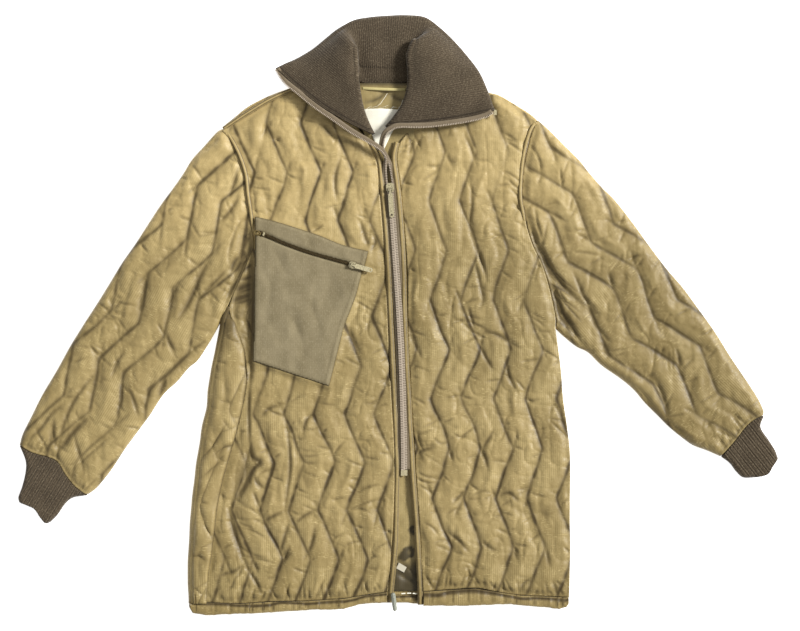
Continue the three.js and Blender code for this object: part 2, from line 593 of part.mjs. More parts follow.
const LINING_ROWS = [-405, -330, -250, -160, -60, 40, 140, 230, 290, 340, 372];
add('back_lining', wall(LINING_ROWS.map((y) => {
  const spread = smoothstep(y, 230, 340);
  const [left, right] = [lerp(-14, -62, spread), lerp(46, 36, spread)];
  return [0, 0.33, 0.67, 1].map((part) => {
    const x = lerp(left, right, part);
    return { out: [x, y, LEVEL.lining], inn: [x, y, LEVEL.backTop + SEAM_GAP] };
  });
})), 'lining');
const LABEL = [[-52, 280], [-50, 279], [8, 281], [9, 283], [8.5, 341], [6, 342.5], [-50, 343], [-52, 341]];
add('neck_label', plate(LABEL, 0.6, LEVEL.lining + SEAM_GAP), 'label');
add('hanger_loop', plate([[-49, 370.2], [15, 369], [17, 371], [15, 374.5], [-48, 376], [-51, 374]], 1.6,
  LEVEL.lining + SEAM_GAP), 'cream');
add('hem_tab', plate([[2, -370], [14, -376.5], [18, -368.5], [6, -361.5]], 2.2, LEVEL.lining + SEAM_GAP), 'label');

// ---- pocket ---------------------------------------------------------------------------------

const POCKET_BASE = LEVEL.crest + SEAM_GAP;
/** A flat cloth piece between two lines of points, lying on the front's crests. */
function patch(upper, lower, base) {
  return wall([upper, lower].map((line) => line.map(({ x, y }) => (
    { out: [x, y, base + POCKET.thick], inn: [x, y, base] }))));
}
const shifted = (line, dy) => line.map(({ x, y }) => ({ x, y: y + dy }));
add('pocket_strip', patch(POCKET.stripTop, shifted(POCKET.zip, 3.4), POCKET_BASE), 'pocket');
add('pocket_bag', patch(shifted(POCKET.zip, -3.4), POCKET.foot, POCKET_BASE), 'pocket');
const pocketTeeth = [...POCKET.zip.slice(0, -1), POCKET.slider].map((point) => ({ ...point, z: POCKET_BASE + 2.2 }));
add('pocket_zip', strip(pocketTeeth, 6, 2.2), 'teeth');

// ---- hardware -------------------------------------------------------------------------------

const SLIDER = { width: 12, length: 14, plate: 1.4, mouth: 3.6, post: 3, lug: 1.3, pivot: 2.2, hinge: 4.4, pocketFoot: -0.8 };

const wasm = await Module();
wasm.setup();

/** A closed geometry as a solid that can be cut. */
function solid(geometry) {
  const bare = geometry.clone();
  Object.keys(bare.attributes).filter((key) => key !== 'position').forEach((key) => bare.deleteAttribute(key));
  const merged = mergeVertices(bare, 1e-4);
  return new wasm.Manifold(new wasm.Mesh({
    numProp: 3, vertProperties: merged.attributes.position.array, triVerts: new Uint32Array(merged.index.array),
  }));
}

/** What is left of a geometry once the others are cut away from it. */
function cut(geometry, cutters) {
  const left = cutters.reduce((body, cutter) => body.subtract(solid(cutter)), solid(geometry)).getMesh();
  const result = new THREE.BufferGeometry();
  result.setAttribute('position', new THREE.BufferAttribute(left.vertProperties, 3));
  result.setIndex(new THREE.BufferAttribute(left.triVerts, 1));
  result.computeVertexNormals();
  return result;
}

/**
 * A slider: plates joined by a post at their upper end, where the two tapes part round it, and
 * two lugs on the upper plate that carry the pull tab. It is built along +Y round the origin. On
 * a pocket the lower plate is behind the cloth and is left out.
 */
function slider(name, group, withLowerPlate) {
  const { width, length, plate: leaf, mouth, post, lug, pivot, hinge } = SLIDER;
  const half = mouth / 2;
  const nose = length - 3;
  const outline = [[-0.32, 0], [0.32, 0], [0.5, 3], [0.5, nose], [0.28, length], [-0.28, length], [-0.5, nose],
    [-0.5, 3]].map(([across, y]) => [across * width, y]);
  const foot = withLowerPlate ? -half - leaf : SLIDER.pocketFoot;
  const body = plate(outline, half + leaf - foot, foot);
  const channel = new THREE.BoxGeometry(width + 2, length - post, mouth).translate(0, (length - post) / 2 - 1, 0);
  const passes = [-1, 1].map((side) => new THREE.BoxGeometry(width, post + 4, mouth)
    .translate(side * (width / 2 + post / 2), length - post / 2, 0));
  add(name, cut(body, [channel, ...passes]), 'metal', group);
  for (const side of [-1, 1]) {
    const ear = new THREE.BoxGeometry(lug, 4.4, pivot + 1.2);
    ear.translate(side * 2.7, hinge, half + leaf + SEAM_GAP / 3 + (pivot + 1.2) / 2);
    add(`${name}_lug_${side < 0 ? 'right' : 'left'}`, ear, 'metal', group);
  }
}

/**
 * A pull tab hinged on the line between a slider's lugs, with a hole near its end. It lies down
 * the zip, or over the slider's nose when `over` is set, and droops until its end touches.
 */
function pull(name, group, { length, width, droop, over }) {
  const neck = 1.4;
  const outline = [[-neck, 1], [-neck, -6], [-width / 2, -8.5], [-width / 2, -length + 2.5],
    [-width / 2 + 2.5, -length], [width / 2 - 2.5, -length], [width / 2, -length + 2.5], [width / 2, -8.5],
    [neck, -6], [neck, 1]];
  const hole = new THREE.Path().absarc(0, -length + 4.2, 1.7, 0, 2 * Math.PI, true);
  const mesh = add(name, plate(outline, 1.3, -0.65, [hole]), 'metal', group);
  mesh.position.set(0, SLIDER.hinge, SLIDER.mouth / 2 + SLIDER.plate + SLIDER.pivot + 0.1);
  mesh.rotation.set(droop, 0, over ? Math.PI : 0, 'ZXY');
}

/** A slider with its pull tab, placed on a zip and turned along it. */
function fastening(prefix, { at, turn, size, lowerPlate, tab }) {
  const group = new THREE.Group();
  group.position.set(...at);
  group.rotation.z = turn;
  group.scale.setScalar(size);
  jacket.add(group);
  slider(`${prefix}_slider`, group, lowerPlate);
  pull(`${prefix}_pull`, group, tab);
}
fastening('zip', {
  at: [-7.2, 213.5, ZIP.height - ZIP.thick / 2], turn: 0.06, size: 1, lowerPlate: true,
  tab: { length: 44, width: 7.5, droop: 0.07, over: false },
});
fastening('pocket', {
  at: [-71, 101.8, POCKET_BASE + 1], turn: -1.84, size: 0.85, lowerPlate: false,
  tab: { length: 40, width: 8.5, droop: 0.085, over: true },
});

add('zip_bottom_stop', new THREE.BoxGeometry(10, 9, 3.4).translate(14.2, -221, ZIP.height - 1.5), 'metal');
add('zip_top_stop', new THREE.BoxGeometry(4, 8, 3).translate(155, 336, 26), 'metal');
add('pocket_zip_end', new THREE.TorusGeometry(4, 1, 6, 12).scale(1.2, 0.8, 1)
  .rotateZ(-0.4).translate(-213, 150, POCKET_BASE + 1.1), 'metal');
add('hem_cord_end', new THREE.CapsuleGeometry(3.6, 22, 3, 8).scale(1, 1, 0.8).rotateZ(0.12)
  .translate(-1.5, -421, 17.6), 'cord');

export default jacket;
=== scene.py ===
"""Quilted liner jacket, laid flat with its front up and its rib-knit collar folded open.

Tables and dataclass fields are in millimetres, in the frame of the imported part: +X to the side of
the wearer's left arm, +Y towards the collar, +Z up off the surface. Meshes are made in metres.
Left and right are the wearer's.
"""
import logging
import math
from dataclasses import dataclass
from enum import Enum
from functools import cached_property, partial
from typing import Callable, Sequence

import bpy
import numpy as np
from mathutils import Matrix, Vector
from mathutils.geometry import delaunay_2d_cdt


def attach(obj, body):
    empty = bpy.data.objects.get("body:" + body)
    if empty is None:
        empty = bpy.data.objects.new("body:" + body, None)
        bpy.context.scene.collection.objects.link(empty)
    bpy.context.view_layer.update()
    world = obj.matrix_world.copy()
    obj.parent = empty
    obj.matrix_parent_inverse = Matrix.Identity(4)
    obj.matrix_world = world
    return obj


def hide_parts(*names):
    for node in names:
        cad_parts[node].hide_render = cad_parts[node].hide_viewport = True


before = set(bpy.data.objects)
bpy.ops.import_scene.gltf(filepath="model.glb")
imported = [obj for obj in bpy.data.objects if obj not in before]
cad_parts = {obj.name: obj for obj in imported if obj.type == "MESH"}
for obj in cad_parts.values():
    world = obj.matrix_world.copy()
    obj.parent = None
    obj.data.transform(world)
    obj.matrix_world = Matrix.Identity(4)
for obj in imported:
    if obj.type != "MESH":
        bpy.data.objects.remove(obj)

logging.basicConfig(level=logging.INFO, format="%(message)s")
log = logging.getLogger("jacket")

MM = 0.001
Array = np.ndarray
Piece = bpy.types.Object


# ---- numbers

def xy(*numbers: float) -> Array:
    """Places in the plane, one a row, from the x and y of each in turn."""
    return np.reshape(numbers, (-1, 2))


def xyz(*numbers: float) -> Array:
    """Places in space, one a row, from the x, y and z of each in turn."""
    return np.reshape(numbers, (-1, 3))


def ease(value: Array, low: float, high: float) -> Array:
    """Smooth step: 0 below low, 1 above high."""
    part = np.clip((np.asarray(value, dtype=float) - low) / (high - low), 0.0, 1.0)
    return part * part * (3.0 - 2.0 * part)


def bell(gap: Array, width: float) -> Array:
    """1 where a distance is 0, fading out over a width on both sides."""
    return np.exp(-(gap / width) ** 2)


def overrun(row: Array) -> Array:
    """A row of places, carried on by one more place at each end."""
    return np.concatenate([2 * row[:1] - row[1:2], row, 2 * row[-1:] - row[-2:-1]])


def curved(row: Array, share: Array) -> list[Array]:
    """Smooth curves between the places of a row.

    Args:
        row: The places, with one more beyond each end.
        share: Where to look in each gap between two places, from 0 to 1.

    Returns:
        The points of each gap in turn.
    """
    return [0.5 * (2 * b + (c - a) * share + (2 * a - 5 * b + 4 * c - d) * share ** 2
                   + (3 * b - a - 3 * c + d) * share ** 3)
            for a, b, c, d in zip(row, row[1:], row[2:], row[3:])]


def run_of(places: Array) -> Array:
    """Distance along a route from its start to each of its places."""
    steps = np.linalg.norm(np.diff(places, axis=0), axis=-1)
    return np.concatenate([0 * steps[:1], np.cumsum(steps, axis=0)])


def heading(route: Array) -> Array:
    """Unit direction of a route at each of its places."""
    run = np.gradient(route, axis=0)
    return run / np.linalg.norm(run, axis=1)[:, None]


def spline(points: Sequence, step: float) -> Array:
    """Smooth curve through points, as evenly spaced places.

    Args:
        points: Places that the curve passes through, one a row.
        step: Distance between the places that come back, in the points' own unit.

    Returns:
        Places along the curve, one a row.
    """
    points = np.asarray(points, dtype=float)
    share = np.linspace(0.0, 1.0, 12, endpoint=False)[:, None]
    dense = np.vstack([*curved(overrun(points), share), points[-1:]])
    run = run_of(dense)
    at = np.linspace(0.0, run[-1], max(2, round(float(run[-1]) / step) + 1))
    return np.stack([np.interp(at, run, column) for column in dense.T], axis=1)


def outline_of(*edges: Sequence, step: float) -> Array:
    """Closed outline, a point every step, from edges that each end at the corner where the next one starts."""
    return np.vstack([spline(edge, step)[:-1] for edge in edges])


def path_distance(places: Array, path: Array) -> tuple[Array, Array]:
    """Distance of places in the plane from a path.

    Args:
        places: x and y of each place.
        path: x and y of the path's corners.

    Returns:
        Each place's distance from the path, and how far along the path its nearest point is.
    """
    best = np.full(len(places), np.inf)
    where = np.zeros(len(places))
    start = 0.0
    for a, b in zip(path, path[1:]):
        along = b - a
        length = float(np.hypot(*along)) or 1e-9
        part = np.clip(((places - a) @ along) / length ** 2, 0.0, 1.0)
        gap = np.hypot(*(places - a - part[:, None] * along).T)
        nearer = gap < best
        best[nearer] = gap[nearer]
        where[nearer] = start + part[nearer] * length
        start += length
    return best, where


def line_gap(places: Array, points: Sequence, step: float = 4.0) -> Array:
    """Distance of places from the smooth curve through points, which is looked at in steps."""
    return path_distance(places, spline(points, step))[0]


def border_gap(places: Array, outline: Array) -> Array:
    """Distance of places from a closed outline."""
    return path_distance(places, np.vstack([outline, outline[:1]]))[0]


def inside(places: Array, outline: Array) -> Array:
    """Which places lie inside a closed outline."""
    x, y = places[:, 0], places[:, 1]
    result = np.zeros(len(places), dtype=bool)
    for (ax, ay), (bx, by) in zip(outline, np.roll(outline, -1, axis=0)):
        crosses = (ay > y) != (by > y)
        result ^= crosses & (x < (bx - ax) * (y - ay) / ((by - ay) or 1e-12) + ax)
    return result


def mottle(places: Array, size: float | tuple[float, float], seed: int) -> Array:
    """Smooth seeded noise in the plane.

    Args:
        places: x and y of each place.
        size: Size of one blotch, or one size each for x and y.
        seed: Picks the pattern.

    Returns:
        A value from -1 to 1 for each place.
    """
    lattice = np.random.default_rng(seed).uniform(-1.0, 1.0, (64, 64))
    scaled = places / np.asarray(size, dtype=float) + 1000.0
    cell = np.floor(scaled).astype(int)
    part = scaled - cell
    part = part * part * (3.0 - 2.0 * part)
    i, j = cell[:, 0] % 64, cell[:, 1] % 64
    i2, j2 = (i + 1) % 64, (j + 1) % 64
    low = lattice[i, j] * (1 - part[:, 0]) + lattice[i2, j] * part[:, 0]
    high = lattice[i, j2] * (1 - part[:, 0]) + lattice[i2, j2] * part[:, 0]
    return low * (1 - part[:, 1]) + high * part[:, 1]


def grid_points(x: Array, y: Array) -> Array:
    """Every x with every y, one place a row, the rows of equal y one after another."""
    return np.stack(np.meshgrid(x, y), axis=-1).reshape(-1, 2)


# ---- meshes

def mesh_object(name: str, places: Array, faces: list, grain: Array | None = None, tone: Array | None = None,
                smooth: bool = True) -> Piece:
    """A mesh object from points and faces.

    Args:
        name: Name of the piece.
        places: x, y and z of each vertex, in millimetres.
        faces: Vertex numbers of each face.
        grain: Place of each vertex across and along its cloth, which becomes a UV map in metres.
        tone: How dark the cloth is at each vertex, from 0 to 1.
        smooth: Whether the faces are shaded smooth.

    Returns:
        The object, in the scene.
    """
    mesh = bpy.data.meshes.new(name)
    mesh.from_pydata((np.asarray(places) * MM).tolist(), [], [list(map(int, face)) for face in faces])
    mesh.update()
    mesh.polygons.foreach_set("use_smooth", [smooth] * len(mesh.polygons))
    if grain is not None:
        corner = np.empty(len(mesh.loops), dtype=int)
        mesh.loops.foreach_get("vertex_index", corner)
        mesh.uv_layers.new(name="grain").data.foreach_set("uv", (grain[:, :2][corner] * MM).ravel())
    if tone is not None:
        set_tone(mesh, tone)
    piece = bpy.data.objects.new(name, mesh)
    bpy.context.scene.collection.objects.link(piece)
    return piece


def set_tone(mesh: bpy.types.Mesh, tone: Array) -> None:
    """Stores how dark the cloth is at each vertex."""
    mesh.attributes.new("tone", "FLOAT", "POINT").data.foreach_set("value", np.asarray(tone, dtype=np.float32))


def select_only(piece: Piece) -> None:
    """Deselects everything and makes one piece selected and active."""
    bpy.ops.object.select_all(action="DESELECT")
    piece.select_set(True)
    bpy.context.view_layer.objects.active = piece


def thicken(piece: Piece, thickness: float) -> None:
    """Gives a sheet its thickness, inwards from its outer side.

    Args:
        piece: The sheet.
        thickness: Thickness of the cloth in millimetres.
    """
    shell = piece.modifiers.new("thickness", "SOLIDIFY")
    shell.thickness, shell.offset = thickness * MM, -1.0
    select_only(piece)
    bpy.ops.object.modifier_apply(modifier=shell.name)


def grid_faces(rows: int, columns: int, ring: bool = False) -> list:
    """Quads of a grid whose vertices are numbered row by row.

    Args:
        rows: Number of rows.
        columns: Vertices in a row.
        ring: Whether the last row joins the first.

    Returns:
        Vertex numbers of each quad.
    """
    return [(r * columns + c, r * columns + c + 1, after * columns + c + 1, after * columns + c)
            for r, after in zip(range(rows if ring else rows - 1), [*range(1, rows), 0])
            for c in range(columns - 1)]


def strip_faces(rows: int, columns: int, ring: bool = False) -> list:
    """The quads of grid_faces, each started at its second corner, so that it is split the other way."""
    return [(*face[1:], face[0]) for face in grid_faces(rows, columns, ring)]


def trimmed(points: Array, outline: Array, step: float) -> tuple[Array, list]:
    """Covers an outline with triangles that use given inner points.

    Args:
        points: x and y of the inner points.
        outline: x and y of the closed outline's points.
        step: Distance between neighbours; inner points nearer the outline than half of it are left out.

    Returns:
        x and y of the vertices, the outline's first, and the triangles.
    """
    kept = points[inside(points, outline) & (border_gap(points, outline) > 0.55 * step)]
    ring = [(i, (i + 1) % len(outline)) for i in range(len(outline))]
    every = [Vector(place) for place in np.vstack([outline, kept])]
    vertices, _, faces, *_ = delaunay_2d_cdt(every, ring, [], 1, 1e-5)
    return np.array([tuple(vertex) for vertex in vertices]), [list(face) for face in faces]


def plain_fill(outline: Array, step: float) -> tuple[Array, list]:
    """Covers an outline with triangles on a square grid of one step; gives what trimmed gives."""
    x, y = [np.arange(low, high, step) for low, high in zip(outline.min(axis=0), outline.max(axis=0))]
    return trimmed(grid_points(x, y), outline, step)


def padded_layer(name: str, outline: Array, flat: Array, faces: list, height: Array, base: float,
                 tone: Array) -> Piece:
    """A closed quilted layer: a fine upper side over a plain lower one.

    Args:
        name: Name of the piece.
        outline: x and y of the outline, which are also the first vertices of the upper side.
        flat: x and y of the upper side's vertices.
        faces: Its triangles.
        height: Its height at each vertex.
        base: Height of the lower side.
        tone: How dark the upper side is at each vertex.

    Returns:
        The layer.
    """
    under, under_faces = plain_fill(outline, 9.0)
    count, ring = len(flat), len(outline)
    sides = [(i, count + i, count + (i + 1) % ring, (i + 1) % ring) for i in range(ring)]
    places = np.vstack([np.column_stack([flat, height]), np.column_stack([under, np.full(len(under), base)])])
    piece = mesh_object(name, places, [*faces, *([count + i for i in face[::-1]] for face in under_faces), *sides],
                        places, np.concatenate([tone, np.zeros(len(under))]))
    select_only(piece)
    bpy.ops.object.mode_set(mode="EDIT")
    bpy.ops.mesh.select_all(action="SELECT")
    bpy.ops.mesh.normals_make_consistent(inside=False)
    bpy.ops.object.mode_set(mode="OBJECT")
    return piece


def ribbon(name: str, route: Array, width: float, thick: float, crown: float = 0.0, columns: int = 4,
           edge_stitch: float | None = None) -> Piece:
    """A narrow strip of cloth along a route.

    Args:
        name: Name of the piece.
        route: Places of the middle of its upper side, one a row.
        width: Width of the strip.
        thick: Thickness of the strip.
        crown: How much its middle stands above its edges.
        columns: Faces across.
        edge_stitch: How far inside its edges the strip is stitched, if it is.

    Returns:
        The strip, with a map that runs along it.
    """
    run = heading(route[:, :2])
    across = np.stack([-run[:, 1], run[:, 0]], axis=1)
    length = run_of(route)
    places, grain = [], []
    for share in np.linspace(-0.5, 0.5, columns + 1):
        lift = crown * (1 - (2 * share) ** 2) - crown
        places.append(np.column_stack([route[:, :2] + across * share * width, route[:, 2] + lift]))
        grain.append(np.column_stack([np.full(len(route), share * width), length]))
    grain = np.vstack(grain)
    tone = None
    if edge_stitch is not None:
        tone = bell(width / 2 - edge_stitch - np.abs(grain[:, 0]), 0.9)
    piece = mesh_object(name, np.vstack(places), strip_faces(columns + 1, len(route)), grain, tone)
    thicken(piece, thick)
    return piece


# ---- finishes

def linear(colour: str) -> tuple[float, float, float, float]:
    """Turns an sRGB hex colour such as "b09e68" into linear values with full opacity."""
    parts = [int(colour[i:i + 2], 16) / 255 for i in (0, 2, 4)]
    return (*[part / 12.92 if part <= 0.04045 else ((part + 0.055) / 1.055) ** 2.4 for part in parts], 1.0)


def output(source: object) -> object:
    """What a node puts out first; anything but a node comes back as it is."""
    if isinstance(source, bpy.types.Node):
        return next(socket for socket in source.outputs if socket.enabled)
    return source


def add_node(tree: bpy.types.NodeTree, kind: str, *inputs: object, **settings: object) -> bpy.types.Node:
    """Adds a shader node.

    Args:
        tree: The material's node tree.
        kind: Type of the node, without its "ShaderNode" start.
        inputs: A number, hex colour, node or socket for each input in turn; None leaves one alone.
        settings: The node's own properties, and the same as above for inputs by their names.

    Returns:
        The node.
    """
    node = tree.nodes.new("ShaderNode" + kind)
    named = []
    for name, value in settings.items():
        if hasattr(node, name):
            setattr(node, name, value)
        else:
            named.append((node.inputs[name], value))
    live = [socket for socket in node.inputs if socket.enabled]
    for socket, value in [*zip(live, inputs), *named]:
        source = output(value)
        if isinstance(source, bpy.types.NodeSocket):
            tree.links.new(source, socket)
        elif source is not None:
            socket.default_value = linear(source) if isinstance(source, str) else source
    return node


def coats(add: Callable, colour: object, *layers: tuple) -> object:
    """Lays coats of colour over one another.

    Args:
        add: Adds a node to the material.
        colour: The colour underneath.
        layers: For each coat in turn, how much of it covers what is under it, and its colour.

    Returns:
        The finished colour.
    """
    for cover, coat in layers:
        colour = add("Mix", cover, colour, coat, data_type="RGBA")
    return colour


@dataclass(frozen=True)
class Finish:
    """A plain material. Kinds of finish add their own patterns."""
    name: str
    colour: str
    roughness: float = 0.8
    metallic: float = 0.0
    sheen: float = 0.0
    specular: float = 0.4
    glow: float = 0.0

    def looks(self, add: Callable) -> dict:
        """Nodes that drive the shader; a plain material has none.

        Args:
            add: Adds a node to the material; not used here.

        Returns:
            A node or socket for each input of the shader that is driven, by the input's name.
        """
        return {}

    def make(self) -> bpy.types.Material:
        """Builds the material."""
        material = bpy.data.materials.new(self.name)
        material.diffuse_color = linear(self.colour)
        material.use_nodes = True
        tree = material.node_tree
        tree.nodes.clear()
        add = partial(add_node, tree)
        shader = add("BsdfPrincipled", **{
            "Base Color": self.colour, "Roughness": self.roughness, "Metallic": self.metallic,
            "Sheen Weight": self.sheen, "Specular IOR Level": self.specular, "Emission Strength": self.glow})
        for name, node in self.looks(add).items():
            tree.links.new(output(node), shader.inputs[name])
        add("OutputMaterial", shader)
        return material


class Weave:
    """Patterns that follow a cloth's own grain, sized in real millimetres."""

    def __init__(self, add: Callable) -> None:
        """Reads the piece's grain map, and how dark its creases, stitching and spots are, partly grime and partly
        painted shade.
        """
        self.add = add
        self.grain = add("UVMap", uv_map="grain")
        self.tone = add("Attribute", attribute_name="tone").outputs["Fac"]

    def blotches(self, across: float, along: float, detail: float = 2.0) -> bpy.types.Node:
        """Noise with blotches of about this size across and along the grain."""
        place = self.add("Mapping", self.grain, None, None, (1000 / across, 1000 / along, 1.0))
        return self.add("TexNoise", place, 1.0, detail, 0.6)

    def stripes(self, pitch: float, axis: int = 0, sway: bpy.types.Node | None = None) -> bpy.types.Node:
        """Soft stripes from 0 to 1, one after another across or along the grain.

        Args:
            pitch: From one stripe to the next.
            axis: 0 for stripes side by side across the grain, 1 for along it.
            sway: How far each place is shifted, as an angle.

        Returns:
            The stripes.
        """
        place = self.add("SeparateXYZ", self.grain).outputs[axis]
        turn = self.add("Math", place, 2000 * math.pi / pitch, operation="MULTIPLY")
        if sway:
            turn = self.add("Math", turn, sway, operation="ADD")
        return self.add("MapRange", self.add("Math", turn, operation="SINE"), -1.0, 1.0)

    def glints(self, across: float, along: float, least: float, patch: float, share: float) -> bpy.types.Node:
        """Painted glints: short bright dashes along the yarns that come in patches.

        Args:
            across: Size of a dash across the grain.
            along: Size of a dash along the grain.
            least: Noise above which a dash shows.
            patch: Size of a patch.
            share: How bright the dashes are, from 0 to 1.

        Returns:
            The dashes.
        """
        dash = self.add("MapRange", self.blotches(across, along, 1.0), least, least + 0.14)
        patches = self.add("MapRange", self.blotches(patch, patch * 0.7, 1.0), 0.42, 0.66)
        return self.add("Math", self.add("Math", dash, patches, operation="MULTIPLY"), share, operation="MULTIPLY")


@dataclass(frozen=True)
class ShellNylon(Finish):
    """Nylon taffeta, calendered on one face: a soft sheen, fine ribs of thicker yarns, and painted glints."""
    name: str = "nylon_taffeta"
    colour: str = "968254"
    roughness: float = 0.5
    sheen: float = 0.1
    light: str = "a99562"
    shade: str = "7b693b"
    grime_and_painted_shade: str = "3a2c0c"
    rib_and_glint: str = "cfba82"
    # painted light: the lighter colour of the shoulders and upper chest, also laid on the paler lower front
    painted_light_and_pale: str = "bda56e"

    def wear(self, add: Callable) -> tuple:
        """Where the cloth is painted lighter, where it is darker, and how dark its stitch lines look.

        Args:
            add: Adds a node to the material.

        Returns:
            The three, each from 0 to 1.
        """
        # in metres, from the frame's origin: across to the left arm, up to the collar
        place = add("SeparateXYZ", add("TexCoord").outputs["Object"])
        across, height = place.outputs[0], place.outputs[1]
        reach = add("Math", across, operation="ABSOLUTE")
        # painted light: the shoulders and upper chest are painted lighter, more so on the wearer's right, as where
        # strong light falls; the lower front is paler towards its middle
        right = add("Math", add("MapRange", height, 0.06, 0.2, 0.16, 0.45), add("MapRange", across, 0.02, -0.08),
                    operation="MULTIPLY")
        painted_top_light = add("Math", add("MapRange", height, 0.1, 0.24, 0.0, 0.85), right, operation="ADD")
        paler_lower_middle = add("Math", add("MapRange", height, -0.05, -0.16, 0.0, 0.3), add("MapRange", reach, 0.3, 0.18),
                  operation="MULTIPLY")
        painted_light_and_pale = add("Math", painted_top_light, paler_lower_middle, operation="MAXIMUM")
        # darker out on the wearer's left sleeve and towards the hem
        darker_left_and_low = add("Math", add("MapRange", across, 0.3, 0.42, 0.0, 0.45),
                     add("MapRange", height, -0.27, -0.4, 0.0, 0.5), operation="MAXIMUM")
        # the stitch lines look softer on the sleeves and on the left breast
        breast = add("Math", add("MapRange", across, 0.0, 0.03), add("MapRange", height, 0.02, 0.12),
                     operation="MULTIPLY")
        soft = add("Math", breast, add("MapRange", reach, 0.22, 0.34, 0.0, 0.65), operation="MAXIMUM")
        return painted_light_and_pale, darker_left_and_low, add("MapRange", soft, 0.0, 1.0, 0.95, 0.77)

    def looks(self, add: Callable) -> dict:
        """Weave, painted light, darker zones, creases and sheen."""
        weave = Weave(add)
        painted_light_and_pale, darker_left_and_low, drawn = self.wear(add)
        # painted glints on the weft where the cloth is crinkled, and the ribs of the warp where it lies smooth
        glint = add("Math", weave.glints(7, 1.7, 0.56, 22, 0.6), weave.glints(1.7, 7, 0.58, 34, 0.35),
                    operation="MAXIMUM")
        ribs = add("Math", weave.stripes(3.2), add("MapRange", weave.blotches(60, 60, 1.0), 0.46, 0.62, 0.0, 0.26),
                   operation="MULTIPLY")
        colour = coats(
            add, self.shade, (add("MapRange", weave.blotches(80, 120), 0.3, 0.7), self.light), (0.5, self.colour),
            (painted_light_and_pale, self.painted_light_and_pale), (darker_left_and_low, self.shade),
            (add("MapRange", weave.blotches(9, 12, 4.0), 0.3, 0.72, 0.0, 0.4), self.shade),
            (glint, self.rib_and_glint), (ribs, self.rib_and_glint),
            (add("Math", weave.tone, drawn, operation="MULTIPLY"), self.grime_and_painted_shade))
        crumple = add("Bump", 0.45, 1.0 * MM, Height=weave.blotches(6, 7, 3.0))
        return {"Base Color": colour,
                "Roughness": add("MapRange", weave.blotches(3, 3, 3.0), 0.3, 0.7, self.roughness - 0.06,
                                 self.roughness + 0.14),
                "Normal": add("Bump", 0.4, 0.3 * MM, Height=weave.blotches(2.2, 2.2), Normal=crumple)}


@dataclass(frozen=True)
class RibKnit(Finish):
    """Worsted rib knit, worn and matt: fine raised wales with painted shade between them, flecked with fuzz."""
    name: str = "wool_rib_knit"
    colour: str = "594d3c"
    roughness: float = 0.95
    sheen: float = 0.2
    specular: float = 0.15
    furrow_shade_and_specks: str = "30271b"
    fleck: str = "978971"
    seam: str = "1f1810"
    wale: float = 3.1       # about twice as coarse as real, so that the wales show

    def looks(self, add: Callable) -> dict:
        """Wales that waver a little, as hand-worn knit does, with flecks and specks."""
        weave = Weave(add)
        sway = add("Math", weave.blotches(30, 60, 1.0), 9.0, operation="MULTIPLY")
        wales = weave.stripes(self.wale, sway=sway)
        colour = coats(
            add, self.colour, (add("MapRange", weave.blotches(45, 45), 0.3, 0.7, 0.0, 0.5), self.furrow_shade_and_specks),
            # painted shade: the hollows between the wales are coloured darker
            (add("MapRange", wales, 0.0, 1.0, 0.5, 0.0), self.furrow_shade_and_specks),
            (add("MapRange", weave.blotches(1.7, 2.8, 4.0), 0.5, 0.74, 0.0, 0.5), self.fleck),
            (add("MapRange", weave.blotches(2.4, 2.4, 3.0), 0.5, 0.3, 0.0, 0.6), self.furrow_shade_and_specks),
            (add("Math", weave.tone, 0.8, operation="MULTIPLY"), self.seam))
        ribs = add("Bump", 0.6, 0.5 * MM, Height=wales)
        return {"Base Color": colour,
                "Normal": add("Bump", 0.8, 0.8 * MM, Height=weave.blotches(2.0, 2.6, 3.0), Normal=ribs)}


@dataclass(frozen=True)
class PlainCloth(Finish):
    """A plain woven cloth or tape: matt, flecked by its yarns, cloudy with wear."""
    shade: str = "000000"
    light: str = "ffffff"
    # colour of the stitch lines; on the lining also of its spots, its folds and its painted shade
    stitched: str = "43391f"
    yarn: float = 1.8       # thread spacing, coarser than real so that it shows
    cloud: float = 0.5

    def looks(self, add: Callable) -> dict:
        """Clouds of wear, flecks, stitch lines and yarns."""
        weave = Weave(add)
        colour = coats(
            add, self.colour, (add("MapRange", weave.blotches(30, 40, 3.0), 0.3, 0.7, 0.0, self.cloud), self.shade),
            (add("MapRange", weave.blotches(self.yarn, self.yarn * 2.2), 0.5, 0.8, 0.0, 0.5), self.light),
            (add("Math", weave.tone, 0.9, operation="MULTIPLY"), self.stitched))
        yarns = add("Math", weave.stripes(self.yarn * 1.5), weave.stripes(self.yarn * 1.5, 1), operation="ADD")
        soft = add("Bump", 0.35, 0.7 * MM, Height=weave.blotches(12, 12))
        return {"Base Color": colour, "Normal": add("Bump", 0.3, 0.15 * MM, Height=yarns, Normal=soft)}


@dataclass(frozen=True)
class WornMetal(Finish):
    """Die-cast or plated metal: brushed by handling, dulled by oxide in spots, and darker in its hollows with oxide
    and painted shade.
    """
    tarnish_and_shade: str = "3c3324"
    grain: float = 1.5

    def looks(self, add: Callable) -> dict:
        """Spots of oxide, and hollows darkened with oxide and painted shade, on worn metal."""
        spots = add("TexNoise", add("TexCoord").outputs["Object"], 1000 / self.grain, 3.0)
        # painted shade, with oxide: ambient occlusion darkens the hollows and holes
        hollow = add("AmbientOcclusion", Distance=2.4 * MM, samples=6).outputs["AO"]
        colour = coats(add, self.colour, (add("MapRange", spots, 0.45, 0.7, 0.0, 0.7), self.tarnish_and_shade),
                       (add("MapRange", hollow, 0.92, 0.45, 0.0, 0.95), self.tarnish_and_shade))
        rough = add("MapRange", spots, 0.3, 0.7, self.roughness - 0.08, self.roughness + 0.15)
        return {"Base Color": colour, "Roughness": rough}


